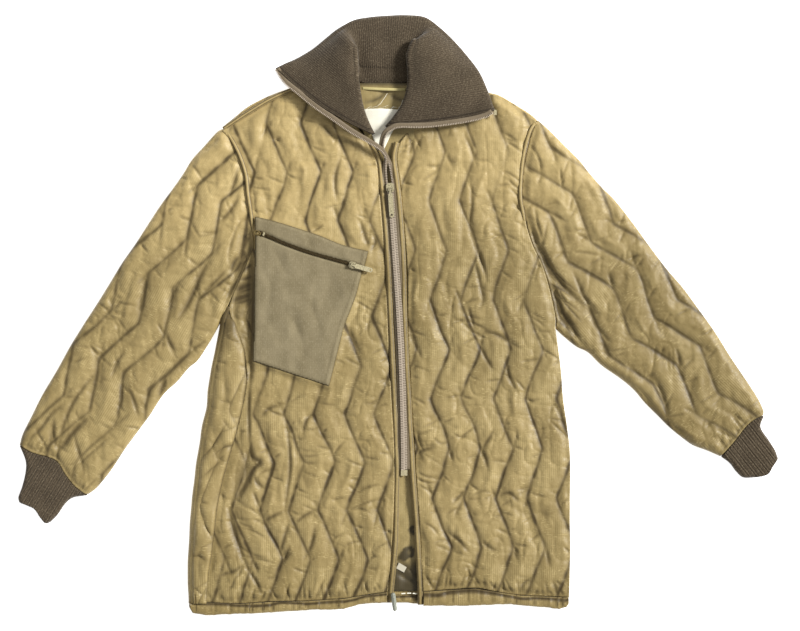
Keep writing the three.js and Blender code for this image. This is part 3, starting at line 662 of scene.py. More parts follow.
class Stuff(Enum):
    """What the pieces are made of: the slot in the record, and the finish."""
    # khaki taffeta: a soft sheen, rib lines and painted glints, brown in its stitch lines and creases with grime and
    # painted shade, painted lighter on the upper chest
    SHELL = "quilted_shell", ShellNylon()
    # brown-grey ribs with painted shade between them, matt and fuzzy
    KNIT = "rib_knit", RibKnit()
    # plain-weave cotton, washed out: matt, cloudy, greyer than the shell
    POCKET = "pocket_cotton", PlainCloth("cotton_drill", "8f8366", 0.9, specular=0.15, shade="71664b",
                                         light="a69a7e", cloud=0.7)
    # the smooth inner face of the shell's nylon, with dark stains and painted shade towards its foot
    LINING = "lining", PlainCloth("nylon_lining", "a08d5c", 0.5, sheen=0.2, shade="7f6e42", light="b8a671",
                                  stitched="2a220c")
    # brown tape in the pocket's mouth, and grey-beige tape at the front zip
    DARK_TAPE = "pocket_teeth", PlainCloth("dark_zip_tape", "4f4227", 0.9, shade="3b301b", light="665637", yarn=1.2)
    TAPE = "zip_tape", PlainCloth("woven_zip_tape", "7c6e59", 0.85, shade="62553f", light="978872", yarn=1.2)
    # cotton of the label, and the same white cotton for the tab in the slit, painted greyer as painted shade so that
    # the lamp doesn't burn it out
    LABEL = "label", PlainCloth("label_cotton", "f6f2e0", 0.85, shade="e6dfc6", light="fffdf2", yarn=1.2, cloud=0.4)
    TAB = "label", PlainCloth("tab_cotton", "c9c2ae", 0.85, shade="aaa28c", light="dcd6c4", yarn=1.2, cloud=0.4)
    # straw-coloured tape of the hanger loop
    LOOP = "loop_tape", PlainCloth("cotton_loop_tape", "cdbf84", 0.85, shade="a8995f", light="e2d6a4", yarn=1.2)
    # brown sewing thread that bars the pocket zip's end
    THREAD = "pocket_cotton", PlainCloth("sewing_thread", "6b5a30", 0.8, shade="544522", light="8c7a48", yarn=1.0)
    # fine teeth of pinkish nickel, and darkened brass ones at the pocket
    TEETH = "zip_teeth", WornMetal("nickel_zip_teeth", "bfb09c", 0.45, metallic=0.1, tarnish_and_shade="978773")
    DARK_TEETH = "pocket_teeth", WornMetal("aged_brass_zip_teeth", "5e4f33", 0.5, metallic=0.7, tarnish_and_shade="2e2618")
    # pale plated sliders and pull tabs, brown in their hollows with oxide and painted shade
    METAL = "zip_metal", WornMetal("plated_slider_metal", "d8cca4", 0.36, metallic=0.5, tarnish_and_shade="3a2f18")
    # grey pressed end of the drawcord
    CORD_END = "cord_tip", WornMetal("pressed_cord_end", "8f9183", 0.5, metallic=0.0, tarnish_and_shade="5c5d50")

    def __init__(self, slot: str, finish: Finish) -> None:
        """Names the two parts of a value."""
        self.slot, self.finish = slot, finish

    @cached_property
    def material(self) -> bpy.types.Material:
        """The material, made when it is first used."""
        return self.finish.make()


def dress(piece: Piece, stuff: Stuff, *stands_for: str) -> None:
    """Gives a new piece its material and its body, and reports it.

    Args:
        piece: The piece.
        stuff: What it is made of.
        stands_for: Nodes of the part that it replaces.
    """
    for vertex in piece.data.vertices:      # the underside lies flat on the surface
        vertex.co.z = max(vertex.co.z, 0.0)
    piece.data.materials.clear()
    piece.data.materials.append(stuff.material)
    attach(piece, "root")
    if stands_for:
        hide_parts(*stands_for)
    log.info("%s: %d faces", piece.name, len(piece.data.polygons))


# ---- quilting

class Side(Enum):
    """The wearer's sides, by the sign of their X."""
    RIGHT = -1
    LEFT = 1

    def of(self, piece: str) -> str:
        """Name of this side's piece, such as "sleeve_left"."""
        return f"{piece}_{self.name.lower()}"


class Mark(Enum):
    """Kinds of crease: height, half width, and how dark its middle is painted, partly grime and partly painted shade.
    """
    DEEP = (-5.0, 4.8, 1.0)
    FOLD = (-2.9, 3.3, 0.8)
    PUCKER = (-2.1, 2.0, 0.5)
    STITCH = (-1.1, 1.5, 0.8)
    SOFT = (-2.0, 7.0, 0.16)
    # these two kinds are painted shade only: dark where the cloth lies in shadow
    SHADE = (-0.6, 12.0, 0.42)
    DARK_SHADE = (-3.0, 9.0, 0.85)
    RIDGE = (1.9, 5.0, 0.0)


@dataclass(frozen=True)
class Crease:
    """A crease through a few x and y points; it fades out at both ends."""
    kind: Mark
    points: Sequence
    weight: float = 1.0


def creases(kind: Mark, *paths: Sequence, weight: float = 1.0) -> tuple[Crease, ...]:
    """Creases of one kind; each path is the x and y of its points in turn."""
    return tuple(Crease(kind, xy(*path), weight) for path in paths)


def relief(places: Array, marks: Sequence[Crease]) -> tuple[Array, Array]:
    """What creases do to a sheet.

    Args:
        places: x and y of each vertex.
        marks: The creases on the sheet.

    Returns:
        How much each vertex rises, and how dark it is from 0 to 1.
    """
    lift, tone = np.zeros(len(places)), np.zeros(len(places))
    for crease in marks:
        height, width, dark = crease.kind.value
        path = spline(crease.points, 5.0)
        reach = 2.4 * width
        near = np.flatnonzero(((places > path.min(axis=0) - reach) & (places < path.max(axis=0) + reach)).all(axis=1))
        if len(near) == 0:
            continue
        gap, station = path_distance(places[near], path)
        fade = np.sin(np.pi * np.clip(station / run_of(path)[-1], 0.03, 0.97)) ** 0.5
        profile = crease.weight * fade * np.exp(-(gap / width) ** 1.5)
        lift[near] += height * profile
        tone[near] = np.maximum(tone[near], dark * profile)
    return lift, tone


@dataclass(frozen=True)
class Quilting:
    """Zigzag stitch lines on one panel, in the panel's own along and across directions."""
    first: float                       # across of line 0 at along 0
    pitch: float                       # from one line to the next
    lean: float = 0.0                  # drift of a line for each unit along
    spread: float = 0.0                # growth of the pitch for each unit along
    vertex: float = 0.0                # a place where the lines turn from their lowest
    period: float = 152.0
    swing: float = 13.5
    axis: tuple[float, float] = (0.0, 1.0)      # direction along
    cross: tuple[float, float] = (1.0, 0.0)     # direction across
    stray: float = 2.4                 # how far the stitching wanders from the zigzag

    @property
    def slope(self) -> float:
        """How far a stitch line runs across for each unit along, between two turns."""
        return 4 * self.swing / self.period

    def wave(self, along: Array) -> Array:
        """The zigzag at places along, from -1 to 1, with slightly rounded turns."""
        turn = 2 * np.pi * (np.asarray(along) - self.vertex) / self.period
        return -np.arcsin(0.994 * np.cos(turn)) / math.asin(0.994)

    def wander(self, places: Array) -> Array:
        """How far the stitching strays near each place, in x and y."""
        return self.stray * np.stack([mottle(places, 38, 91), mottle(places, 52, 92)], axis=1)

    def pair(self, places: Array) -> tuple[Array, Array]:
        """Along and across of places given in x and y, as if the stitching didn't stray."""
        true = places + self.wander(places)
        return true @ np.array(self.axis), true @ np.array(self.cross)

    def place(self, along: Array, across: Array) -> Array:
        """x and y of places given by along and across."""
        true = np.stack([along, across], axis=1) @ np.linalg.inv(np.stack([self.axis, self.cross])).T
        found = true
        for _ in range(3):
            found = true - self.wander(found)
        return found

    def line(self, number: Array, along: Array) -> Array:
        """Across of a stitch line at places along."""
        pitch = self.pitch + self.spread * along
        return self.first + self.lean * along + self.swing * self.wave(along) + number * pitch

    def phase(self, places: Array) -> Array:
        """How many lines across each place is; whole numbers lie on a stitch line."""
        along, across = self.pair(places)
        return (across - self.line(0, along)) / (self.pitch + self.spread * along)

    def distance(self, places: Array) -> Array:
        """Distance of places from their nearest stitch line."""
        along, _ = self.pair(places)
        phase = self.phase(places)
        return np.abs(phase - np.round(phase)) * np.abs(self.pitch + self.spread * along) / math.hypot(1, self.slope)

    def lattice(self, outline: Array, step: float) -> Array:
        """Points in rows that follow the stitch lines, over all of an outline.

        Args:
            outline: x and y of the outline.
            step: Distance between points.

        Returns:
            x and y of each point.
        """
        along, _ = self.pair(outline)
        phase = self.phase(outline)
        per_line = round(abs(self.pitch) / step)
        reach = np.arange(math.floor(phase.min()) - 1, math.ceil(phase.max()) + 1, 1 / per_line)
        p, u = grid_points(reach, np.arange(along.min() - step, along.max() + step, step)).T
        return self.place(u, self.line(p, u))

    def strains(self, outline: Array, seed: int) -> list[Crease]:
        """Creases that the stitching pulls into the cloth: tails past its turns, and puckers across it.

        Args:
            outline: x and y of the outline.
            seed: Picks the creases.

        Returns:
            The creases.
        """
        random = np.random.default_rng(seed)
        along, _ = self.pair(outline)
        phase = self.phase(outline)
        numbers = range(math.ceil(phase.min()), math.floor(phase.max()) + 1)
        low, high = along.min(), along.max()
        turns = range(math.ceil((low - self.vertex) * 2 / self.period),
                      math.floor((high - self.vertex) * 2 / self.period) + 1)
        found = []
        for number in numbers:
            for turn in turns:
                if random.random() > 0.6:
                    continue
                u = self.vertex + turn * self.period / 2
                ahead = random.choice((-1, 1))
                rise = self.slope * (1 if turn % 2 else -1) * ahead
                run = np.linspace(0, random.uniform(12, 30), 4) * ahead
                v = self.line(number, u) + run * rise * random.uniform(0.7, 1.4)
                found.append(Crease(Mark.FOLD, self.place(u + run, v), random.uniform(0.35, 0.9)))
        for _ in range(int(len(numbers) * (high - low) / 24)):
            number, u = random.choice(list(numbers)), random.uniform(low, high)
            reach = random.uniform(7, 30) * random.choice((-1, 1))
            run = np.linspace(0, 1, 4)
            v = self.line(number, u) + run * reach
            bend = random.uniform(-0.7, 0.7) * run * abs(reach) + random.uniform(-3, 3) * run ** 2
            found.append(Crease(Mark.PUCKER, self.place(u + bend, v), random.uniform(0.3, 1.15)))
        for _ in range(int(len(numbers) * (high - low) / 60)):
            number, u = random.choice(list(numbers)) + random.uniform(0.25, 0.75), random.uniform(low, high)
            run = np.linspace(-0.5, 0.5, 4) * random.uniform(22, 60)
            v = self.line(number, u + run) + random.uniform(-4, 4)
            kind = Mark.RIDGE if random.random() < 0.5 else Mark.SOFT
            found.append(Crease(kind, self.place(u + run, v), random.uniform(0.3, 0.9)))
        return found


@dataclass
class QuiltedSheet:
    """One quilted layer over an outline, puffed up between its stitch lines."""
    quilting: Quilting
    outline: Array
    seed: int
    step: float                        # from one vertex to the next
    creases: Sequence = ()
    faint: Sequence = ()               # x, y, radius and share by which the stitching is shallower there
    puff: float = 5.9                  # rise of a puff over its stitch lines
    flank: float = 10.0                # how soon a puff rises from a stitch line

    def lay_out(self) -> tuple[Array, list]:
        """x and y of the layer's vertices, and its triangles."""
        return trimmed(self.quilting.lattice(self.outline, self.step), self.outline, self.step)

    def depth(self, places: Array) -> Array:
        """How deep the stitching sinks at each place, about 1 where it is drawn tight."""
        depth = 0.86 + 0.3 * mottle(places, 46, self.seed + 5)
        for x, y, radius, share in self.faint:
            depth *= 1 - share * np.exp(-(((places - (x, y)) ** 2).sum(axis=1)) / radius ** 2)
        return np.clip(depth, 0.05, 1.1)

    def swell(self, places: Array, border: Array, held: Array | float = 0.0) -> tuple[Array, Array]:
        """Height of the swollen cloth over its stitch lines, and its tone.

        Args:
            places: x and y of each vertex.
            border: Distance of each vertex from the panel's edge.
            held: Share of its full height that the cloth keeps at its edge.

        Returns:
            The height and the darkness of each vertex.
        """
        gap = self.quilting.distance(places)
        depth = self.depth(places)
        full = self.puff * (0.82 + 0.28 * mottle(places, (60, 80), self.seed))
        edge = ease(border, 0, 14)
        body = full * (1 - depth * np.exp(-gap / self.flank)) * (edge + held * (1 - edge))
        crumple = 0.6 * mottle(places, (8, 26), self.seed + 1) + 0.5 * mottle(places, (22, 7), self.seed + 2)
        worked = 0.55 + 0.6 * mottle(places, 55, self.seed + 9)
        for size, rise, seed in (((26, 38), 1.7, 11), ((34, 18), 1.3, 12), ((13, 16), 0.7, 13)):
            crumple -= rise * worked * np.exp(-np.abs(mottle(places, size, self.seed + seed)) / 0.11)
        lift, tone = relief(places, [*self.quilting.strains(self.outline, self.seed), *self.creases])
        height = body + (crumple + lift) * ease(border, 0, 7) * (0.45 + 0.55 * ease(gap, 0, 6))
        worn = 0.82 + 0.34 * mottle(places, 9, self.seed + 7)
        # the stitch lines are darker in their cores with grime and painted shade, and beside them with painted shade
        # only
        line = depth * worn * (0.98 * bell(gap, 2.9) + 0.38 * np.exp(-gap / 6.0))
        return height, np.clip(np.maximum(line, tone), 0, 1)


# ---- the quilted body

def gathers(edge: Sequence, inwards: Array, seed: int) -> list[Crease]:
    """Short creases that stand on a gathered seam.

    Args:
        edge: x and y along the seam.
        inwards: Direction from the seam into the cloth.
        seed: Picks the creases.

    Returns:
        The creases.
    """
    random = np.random.default_rng(seed)
    path = spline(edge, 1.0)
    sideways = np.array([inwards[1], -inwards[0]])
    found, place = [], random.uniform(2, 15)
    while place < len(path) - 3:
        reach = random.uniform(8, 30)
        lean = random.normal(0, 0.28)
        run = np.linspace(-0.1, 1, 4)[:, None] * reach * (inwards + lean * sideways)
        found.append(Crease(Mark.PUCKER, path[int(place)] + run, random.uniform(0.4, 1.2)))
        place += random.uniform(5, 15)
    return found


@dataclass
class FrontPanel:
    """One quilted front: it lies over the back and swells between its stitch lines."""
    side: Side
    quilting: Quilting
    hem: Array
    flank: Array
    shoulder: Array
    opening: Array
    creases: Sequence
    faint: Sequence
    sewn_on: Sequence                  # names of its band, casing, seams and tape
    seed: int
    patch: Array | None = None         # outline of the pocket sewn on it, which lifts the cloth
    patch_height: float = 19.6
    seam_height: float = 12.6
    least_height: float = 11.2         # the bottom of its deepest creases
    base: float = 8.6                  # height of its underside

    def build(self) -> None:
        """Makes the panel."""
        outline = outline_of(self.hem, self.flank, self.shoulder, self.opening, step=1.8)
        marks = [*self.creases, *gathers(self.hem, np.array([0, 1]), self.seed)]
        sheet = QuiltedSheet(self.quilting, outline, self.seed, 1.85, marks, self.faint)
        flat, faces = sheet.lay_out()
        border = border_gap(flat, outline)
        # the zip and the side seam hold the cloth's edge up
        held = np.maximum(0.75 * bell(line_gap(flat, self.opening), 16),
                          0.5 * bell(line_gap(flat, self.flank), 16))
        rise, tone = sheet.swell(flat, border, held)
        height = np.maximum(self.seam_height + ease(border, 0, 12) + rise, self.least_height)
        if self.patch is not None:
            height += (self.patch_height - height) * 0.85 * bell(border_gap(flat, self.patch), 5.5)
        name = self.side.of("front")
        piece = padded_layer(f"{name}_panel", outline, flat, faces, height, self.base, tone)
        dress(piece, Stuff.SHELL, name)


@dataclass
class BackPanel:
    """The back: flat on the surface, and on the right side folded round on to the front."""
    rows: tuple = (
        (-424, -319, 270), (-380, -319, 271), (-338, -318, 272), (-300, -316, 272), (-262, -313, 272),
        (-222, -307, 272), (-184, -302, 271), (-145, -295, 267), (-107, -289, 261), (-70, -283, 258),
        (-30, -276, 253), (0, -270, 249), (19, -267, 248), (50, -254, 243), (80, -240, 235), (108, -229, 225),
        (132, -222, 214), (160, -222, 205), (192, -226, 199), (228, -230, 196), (266, -239, 201),
        (290, -251, 207), (312, -268, 215), (326, -276, 222))       # y, right edge, left edge
    shoulder: tuple = (
        (-276, 306), (-268, 312), (-251, 329), (-226, 349), (-193, 365), (-156, 377), (-74, 392), (-50, 392),
        (-14, 390), (22, 392), (46, 392), (142, 370), (162, 365), (186, 351), (210, 336), (222, 325))
    side_seam: tuple = (               # y and x of the seam that joins the turned strip to the front
        (-424, -294), (-380, -292), (-338, -285), (-280, -279), (-231, -269), (-190, -257), (-157, -247),
        (-120, -238), (-76, -231), (-30, -236), (0, -247), (19, -252), (38, -255))
    quilting: Quilting = Quilting(first=0, pitch=48.3, vertex=180)
    side_creases: tuple = (
        *creases(
            Mark.FOLD, (-300, -204, -286, -184, -274, -166, -264, -148),
            (-282, -194, -264, -181, -246, -178, -230, -182), (-314, -351, -304, -350, -293, -357)),
        Crease(Mark.FOLD, ((-298, -228), (-284, -214), (-268, -202)), 0.8),
        *creases(
            Mark.SOFT, (-304, -236, -303, -272, -297, -302, -284, -320),
            (-265, -50, -264, -100, -266, -138), (-300, -330, -304, -370, -300, -400)),
        Crease(Mark.SOFT, ((-290, -130), (-280, -160), (-276, -180)), 0.7),
        *creases(
            Mark.PUCKER, (-296, -300, -290, -312, -284, -320), (-266, -140, -256, -153),
            (-312, -398, -304, -406, -296, -412)))
    thickness: float = 4.0
    step: float = 5.0
    dent: float = 1.6                  # rise of its underside at a stitch line
    fold: float = 7.0                  # half width of its fold at the right side
    fold_middle: float = 7.5           # height of the fold's middle
    fold_rise: float = 6.0             # half height of the fold
    turned_swell: float = 4.0          # how far the turned strip bulges
    turned_thickness: float = 3.0

    def build(self) -> None:
        """Makes the back and its turned strip."""
        rows = np.array(self.rows)
        right = [(x, y) for y, x, _ in rows if y < 310]
        left = [(x, y) for y, _, x in rows[::-1]]
        outline = outline_of([left[-1], right[0]], right, [right[-1], *self.shoulder[1:]],
                             [self.shoulder[-1], *left[1:]], step=self.step)
        flat, faces = trimmed(self.quilting.lattice(outline, self.step), outline, self.step)
        gap = self.quilting.distance(flat)
        dip = self.dent * ease(gap, 0, 9) - self.dent
        under = np.column_stack([flat, -dip + 5.0 * (1 - ease(border_gap(flat, outline), 0, 7)) ** 2])
        tone = 0.8 * bell(gap, 2.5)
        piece = mesh_object("back_panel", under, [face[::-1] for face in faces], flat, tone)
        thicken(piece, self.thickness)
        dress(piece, Stuff.SHELL, "back")
        self.turned_side(rows)

    def turned_side(self, rows: Array) -> None:
        """Makes the strip of the back that comes round the right side to the side seam.

        Args:
            rows: Height and side edges of the back.
        """
        seam = np.array(self.side_seam)
        heights = np.arange(-424.0, 38.0, 2.3)
        edge, stop = (np.interp(heights, line[:, 0], line[:, 1]) for line in (rows, seam))
        # shares 0 to 1 go round the fold, 1 to 2 over the front
        shares = np.concatenate([np.linspace(0, 1, 9), np.linspace(1, 2, 25)[1:]])
        places = []
        for share in shares:
            if share <= 1:
                angle = math.pi * (share - 0.5)
                x = edge + self.fold - self.fold * math.cos(angle)
                z = self.fold_middle + self.fold_rise * math.sin(angle) + 0 * edge
            else:
                x = edge + self.fold + (stop - edge - self.fold) * (share - 1)
                bulge = self.turned_swell * math.sin(math.pi * (share - 1)) ** 0.6
                z = self.fold_middle + self.fold_rise + bulge * ease(stop - edge, 8, 40)
            places.append(np.column_stack([x, heights, z]))
        grid = np.vstack(places)
        flat = grid[:, :2]
        across = np.repeat(shares, len(heights))
        gap = self.quilting.distance(flat)
        lift, tone = relief(flat, [*self.quilting.strains(flat[::9], 23), *self.side_creases])
        puffs = 2.2 * (1 - np.exp(-gap / 6)) + 1.1 * mottle(flat, (9, 24), 21) + lift
        grid[:, 2] += puffs * ease(across, 0.9, 1.2) * ease(2.0 - across, 0, 0.1)
        grid[:, 0] += 1.5 * mottle(np.column_stack([grid[:, 1], 0 * grid[:, 1]]), 30, 22) * (across < 1.2)
        grid[:, 2] -= 5.0 * ease(grid[:, 1], 4, 38) * (across > 0.9)      # its end tucks in under the sleeve
        stitches = 0.5 * bell(gap, 1.7) * ease(across, 1.0, 1.2)
        at_seam = 0.95 * bell(2.0 - across, 0.045)
        # painted shade: the strip darkens towards its top, where it tucks in under the sleeve
        tucked = 0.85 * ease(grid[:, 1], -46, 24)
        tone = np.clip(np.max([stitches, tone * (across > 0.9), at_seam, tucked], axis=0), 0, 1)
        piece = mesh_object("back_side", grid, grid_faces(len(shares), len(heights)), grid, tone)
        thicken(piece, self.turned_thickness)
        dress(piece, Stuff.SHELL)


# ---- sleeves and cuffs

@dataclass
class Tube:
    """A flattened tube of cloth over an outline with two folds and two open ends."""
    folds: tuple[Array, Array]
    ends: tuple[Array, Array]          # at the body, and at the hand
    middle: float = 8.0                # height of the folds
    rounding: float = 9.0              # how far from a fold the tube reaches its full height
    thickness: float = 3.0

    def outline(self, step: float) -> Array:
        """The outline: one fold, an end, the other fold, the other end."""
        return outline_of(self.folds[0], self.ends[1], self.folds[1], self.ends[0], step=step)

    def close(self, name: str, flat: Array, faces: list, top: Array, bottom: Array, grain: Array,
              tone: Array | None = None) -> Piece:
        """Joins an upper and a lower layer along the folds.

        Args:
            name: Name of the piece.
            flat: x and y of the layers' vertices.
            faces: Triangles of a layer.
            top: Height of the upper layer.
            bottom: Height of the lower layer.
            grain: Across and along of each vertex on its cloth.
            tone: How dark each vertex is, from 0 to 1.

        Returns:
            The closed tube with its thickness.
        """
        gap = np.minimum(*[line_gap(flat, fold, 3.0) for fold in self.folds])
        bulge = np.sqrt(1 - (1 - np.minimum(gap / self.rounding, 1)) ** 2)
        upper = np.column_stack([flat, self.middle + (top - self.middle) * bulge])
        lower = np.column_stack([flat, self.middle * (1 - bulge) + bottom * bulge])
        loose = gap >= 0.05             # both layers share the vertices on a fold
        number = np.arange(len(flat))
        number[loose] = len(flat) + np.arange(loose.sum())
        piece = mesh_object(name, np.vstack([upper, lower[loose]]), [*faces, *(number[face[::-1]] for face in faces)],
                            np.vstack([grain, grain[loose] * (-1, 1)]),
                            None if tone is None else np.concatenate([tone, 0.7 * tone[loose]]))
        thicken(piece, self.thickness)
        return piece


@dataclass
class Sleeve:
    """A quilted sleeve, a flattened tube from the armhole to the cuff seam."""
    side: Side
    tube: Tube
    quilting: Quilting
    creases: Sequence
    seed: int
    girth: float = 0.52                # in metres, as the length
    length: float = 0.62

    def build(self) -> None:
        """Makes the sleeve."""
        outline = self.tube.outline(2.1)
        upwards = -np.array(self.quilting.axis)
        wrist = self.tube.ends[1]
        marks = [*self.creases, Crease(Mark.STITCH, wrist + 5.0 * upwards), *gathers(wrist, upwards, self.seed)]
        sheet = QuiltedSheet(self.quilting, outline, self.seed, 2.1, marks)
        flat, faces = sheet.lay_out()
        rise, tone = sheet.swell(flat, border_gap(flat, outline))
        bottom = 1.4 - 1.4 * ease(self.quilting.distance(flat), 0, 10)
        along, across = self.quilting.pair(flat)
        name = self.side.of("sleeve")
        piece = self.tube.close(f"{name}_tube", flat, faces, np.maximum(14 + rise, 11.5), bottom,
                                np.column_stack([across, along]), tone)
        dress(piece, Stuff.SHELL, name)


@dataclass
class Cuff:
    """A rib-knit cuff: a flattened tube whose ribs run from the sleeve to the hand."""
    side: Side
    tube: Tube
    toward: tuple                      # direction of the ribs
    rib: float = 4.6
    relief: float = 0.6                # half the height of a rib

    def build(self) -> None:
        """Makes the cuff."""
        outline = self.tube.outline(1.2)
        axis = np.array(self.toward) / math.hypot(*self.toward)
        cross = np.array([axis[1], -axis[0]])
        along, across = outline @ axis, outline @ cross
        v, u = grid_points(np.arange(across.min(), across.max(), self.rib / 4),
                           np.arange(along.min(), along.max(), 1.6)).T
        flat, faces = trimmed(np.outer(u, axis) + np.outer(v, cross), outline, 1.2)
        ribs = self.relief * np.cos(2 * np.pi * (flat @ cross) / self.rib)
        piece = self.tube.close(f"{self.side.of('cuff')}_knit", flat, faces, 14.2 + ribs + 0.8 * mottle(flat, 18, 8),
                                0.9 - ribs, np.column_stack([flat @ cross, flat @ axis]))
        dress(piece, Stuff.KNIT, self.side.of("cuff"))
        self.side.of("sleeve")


# ---- collar

def refine(grid: Array, rows: int, columns: int) -> Array:
    """Runs smooth curves through a grid of places, in both directions.

    Args:
        grid: Places by row and column.
        rows: New steps in each gap between rows.
        columns: New steps in each gap between columns.

    Returns:
        The finer grid.
    """
    for steps in (rows, columns):
        share = (np.arange(steps) / steps)[:, None, None]
        grid = np.swapaxes(np.concatenate([*curved(overrun(grid), share), grid[-1:]]), 0, 1)
    return grid


@dataclass
class Collar:
    """The doubled rib-knit collar, unzipped and folded open, its back rolled behind."""
    # neck seam, roll or first visible edge, outer edge, lift between them, tuck past the edge, bow
    sections: tuple = (
        ((-38, 304, 17), (-35, 302, 26), (-183, 402, 18), 4, 0, -9),
        ((-50, 322, 17), (-44, 321, 28), (-168, 410, 15), 5, 0, -4),
        ((-59, 348, 17), (-53, 347, 30), (-151, 418, 12), 7, 0, 0),
        ((-66, 379, 16), (-58, 378, 33), (-126, 433, 9), 9, 4, 0),
        ((-70, 399, 12), (-60, 406, 33), (-104, 451, 7), 9, 9, 0),
        ((-68, 404, 9), (-61, 434, 30), (-86, 465, 6), 6, 16, 0),
        ((-54, 386, 9), (-57, 410, 14), (-64, 476, 7), 3, 34, 0),
        ((-34, 383, 9), (-34, 406, 14), (-38, 480, 7), 3, 46, 0),
        ((-12, 382, 9), (-12, 405, 14), (-10, 482, 7), 3, 50, 0),
        ((10, 384, 9), (10, 407, 14), (18, 483, 7), 3, 46, 0),
        ((24, 388, 9), (26, 420, 15), (46, 481, 7), 3, 30, 0),
        ((38, 402, 10), (29, 444, 28), (68, 466, 6), 5, 16, 0),
        ((36, 398, 13), (21, 425, 32), (90, 445, 9), 8, 9, 0),
        ((34, 382, 16), (23, 400, 32), (109, 423, 12), 9, 4, 0),
        ((31, 366, 17), (22, 375, 31), (127, 398, 19.5), 7, 0, 0),
        ((22, 344, 17), (14, 348, 29), (139, 371, 24), 5, 0, 0),
        ((5, 324, 17), (1, 328, 28), (147, 348, 25), 3, 0, 2),
        ((-8, 313, 17), (-12, 313, 26), (151, 338, 25), 1, 0, 4))
    thickness: float = 4.0

    def section(self, seam: tuple, roll: tuple, edge: tuple, belly: float, tuck: float, bow: float) -> list:
        """Middle line of one section, from the neck seam over the roll to the tucked edge."""
        seam, roll, edge = map(np.array, (seam, roll, edge))
        length = math.hypot(*(edge - roll)[:2])
        out = (edge - roll)[:2] / length

        def face(part: float, lift: float) -> Array:
            """A place on the face between the roll and the edge."""
            swing = bow * math.sin(math.pi * part)
            return roll + (edge - roll) * part + np.array([swing * out[1], -swing * out[0], lift])

        turned = 4 + tuck
        back = np.array([out[0], out[1], 0.0])
        return [
            seam, (seam + roll) / 2 - 2 * back, face(0, -2), face(min(6 / length, 0.2), 0.5),
            face(0.25, belly * 0.7), face(0.5, belly), face(0.75, belly * 0.8), face(1 - min(5 / length, 0.2), 1),
            np.array([edge[0], edge[1], max(edge[2] - 2, 5)]),
            np.append(edge[:2] - turned * out, max(edge[2] - 7, 2.5))]

    def build(self) -> None:
        """Makes the collar."""
        fine = refine(np.array([self.section(*row) for row in self.sections]), 10, 6)
        rows, columns, _ = fine.shape
        across = np.repeat(run_of(fine[:, columns // 2]), columns)
        along = run_of(np.swapaxes(fine, 0, 1)).T.ravel()
        grain = np.column_stack([across, along])
        places = fine.reshape(-1, 3)
        places[:, 2] += 0.8 * mottle(grain, (26, 40), 31)
        edge = np.minimum(across, across[-1] - across)
        tone = bell(edge - 6.5, 1.4) + 0.6 * bell(edge, 1.5)
        piece = mesh_object("collar_knit", places, grid_faces(rows, columns), grain, tone)
        thicken(piece, self.thickness)
        dress(piece, Stuff.KNIT, "collar")


# ---- trims: bands, seams, hems

@dataclass
class Trim:
    """A narrow sewn strip of shell cloth, with a stitch line inside each edge."""
    name: str
    route: Array                       # the middle of its upper side
    width: float = 8.5
    thick: float = 2.0
    crown: float = 1.6
    stitch_inset: float = 1.6
    stands_for: tuple = ()

    def build(self) -> None:
        """Makes the strip."""
        route = spline(self.route, 2.5)
        sway = np.column_stack([np.arange(len(route)) * 2.5, np.zeros(len(route))])
        route[:, 2] += 0.5 * mottle(sway, 24, len(self.name))
        route[:, 0] += 0.4 * mottle(sway, 40, len(self.name) + 3)
        piece = ribbon(self.name, route, self.width, self.thick, self.crown, 8, self.stitch_inset)
        dress(piece, Stuff.SHELL, *self.stands_for)


@dataclass
class Hem:
    """A hem casing with a drawcord in it: a flattened tube, gathered along its length."""
    name: str
    stands_for: str
    upper: Array                       # its upper edge
    lower: Array                       # its lower edge
    seed: int
    base: float = 7.9                  # height of its underside
    full: float = 8.4                  # its own height
    around: int = 24                   # vertices round it

    def build(self) -> None:
        """Makes the casing."""
        x = np.arange(self.upper[0, 0], self.upper[-1, 0] + 0.1, 1.4)
        high, low = (np.interp(x, edge[:, 0], edge[:, 1]) for edge in (self.upper, self.lower))
        run = np.column_stack([x, np.zeros(len(x))])
        gather = 0.7 * mottle(run, 8, self.seed) + 0.6 * mottle(run, 4, self.seed + 1)
        turns = np.linspace(0, 2 * math.pi, self.around + 1)[:-1]
        rings = []
        for turn in turns:
            share = 0.5 + 0.5 * math.cos(turn)      # 0 at the lower edge, 1 at the upper
            above = math.sin(turn) > 0
            y = low + (high - low) * share ** 0.9
            swell = abs(math.sin(turn)) ** 0.55
            bulge = self.full / 2 * swell * math.copysign(1, math.sin(turn))
            wrinkle = 1.1 * gather * swell * ease(share, 0.0, 0.3) * above
            seam = 2.0 * math.exp(-((share - 0.8) / 0.07) ** 2) * above
            z = self.base + self.full / 2 + bulge + wrinkle - seam
            rings.append(np.column_stack([x, y + 0.5 * gather * (1 - share), z]))
        places = np.vstack(rings)
        starts = [ring * len(x) for ring in range(self.around)]
        caps = [starts, [start + len(x) - 1 for start in starts][::-1]]
        share = np.repeat(0.5 + 0.5 * np.cos(turns), len(x))
        wavy = 0.8 + 0.13 * np.tile(mottle(run, 22, self.seed + 2), self.around)
        pulled = np.tile(ease(mottle(run, 26, self.seed + 3), -1.0, 0.0), self.around)
        # painted shade: dark ticks on the sides of the gathers, where they are pulled tight
        gather_shade = 0.95 * np.tile(bell(gather, 0.1), self.around) * ease(share, 0.0, 0.35) * pulled
        tone = np.clip(np.maximum(1.3 * np.exp(-((share - wavy) * 6.5) ** 2), gather_shade), 0, 1)
        piece = mesh_object(self.name, places, [*strip_faces(self.around, len(x), ring=True), *caps], places, tone)
        dress(piece, Stuff.SHELL, self.stands_for)


# ---- front zip

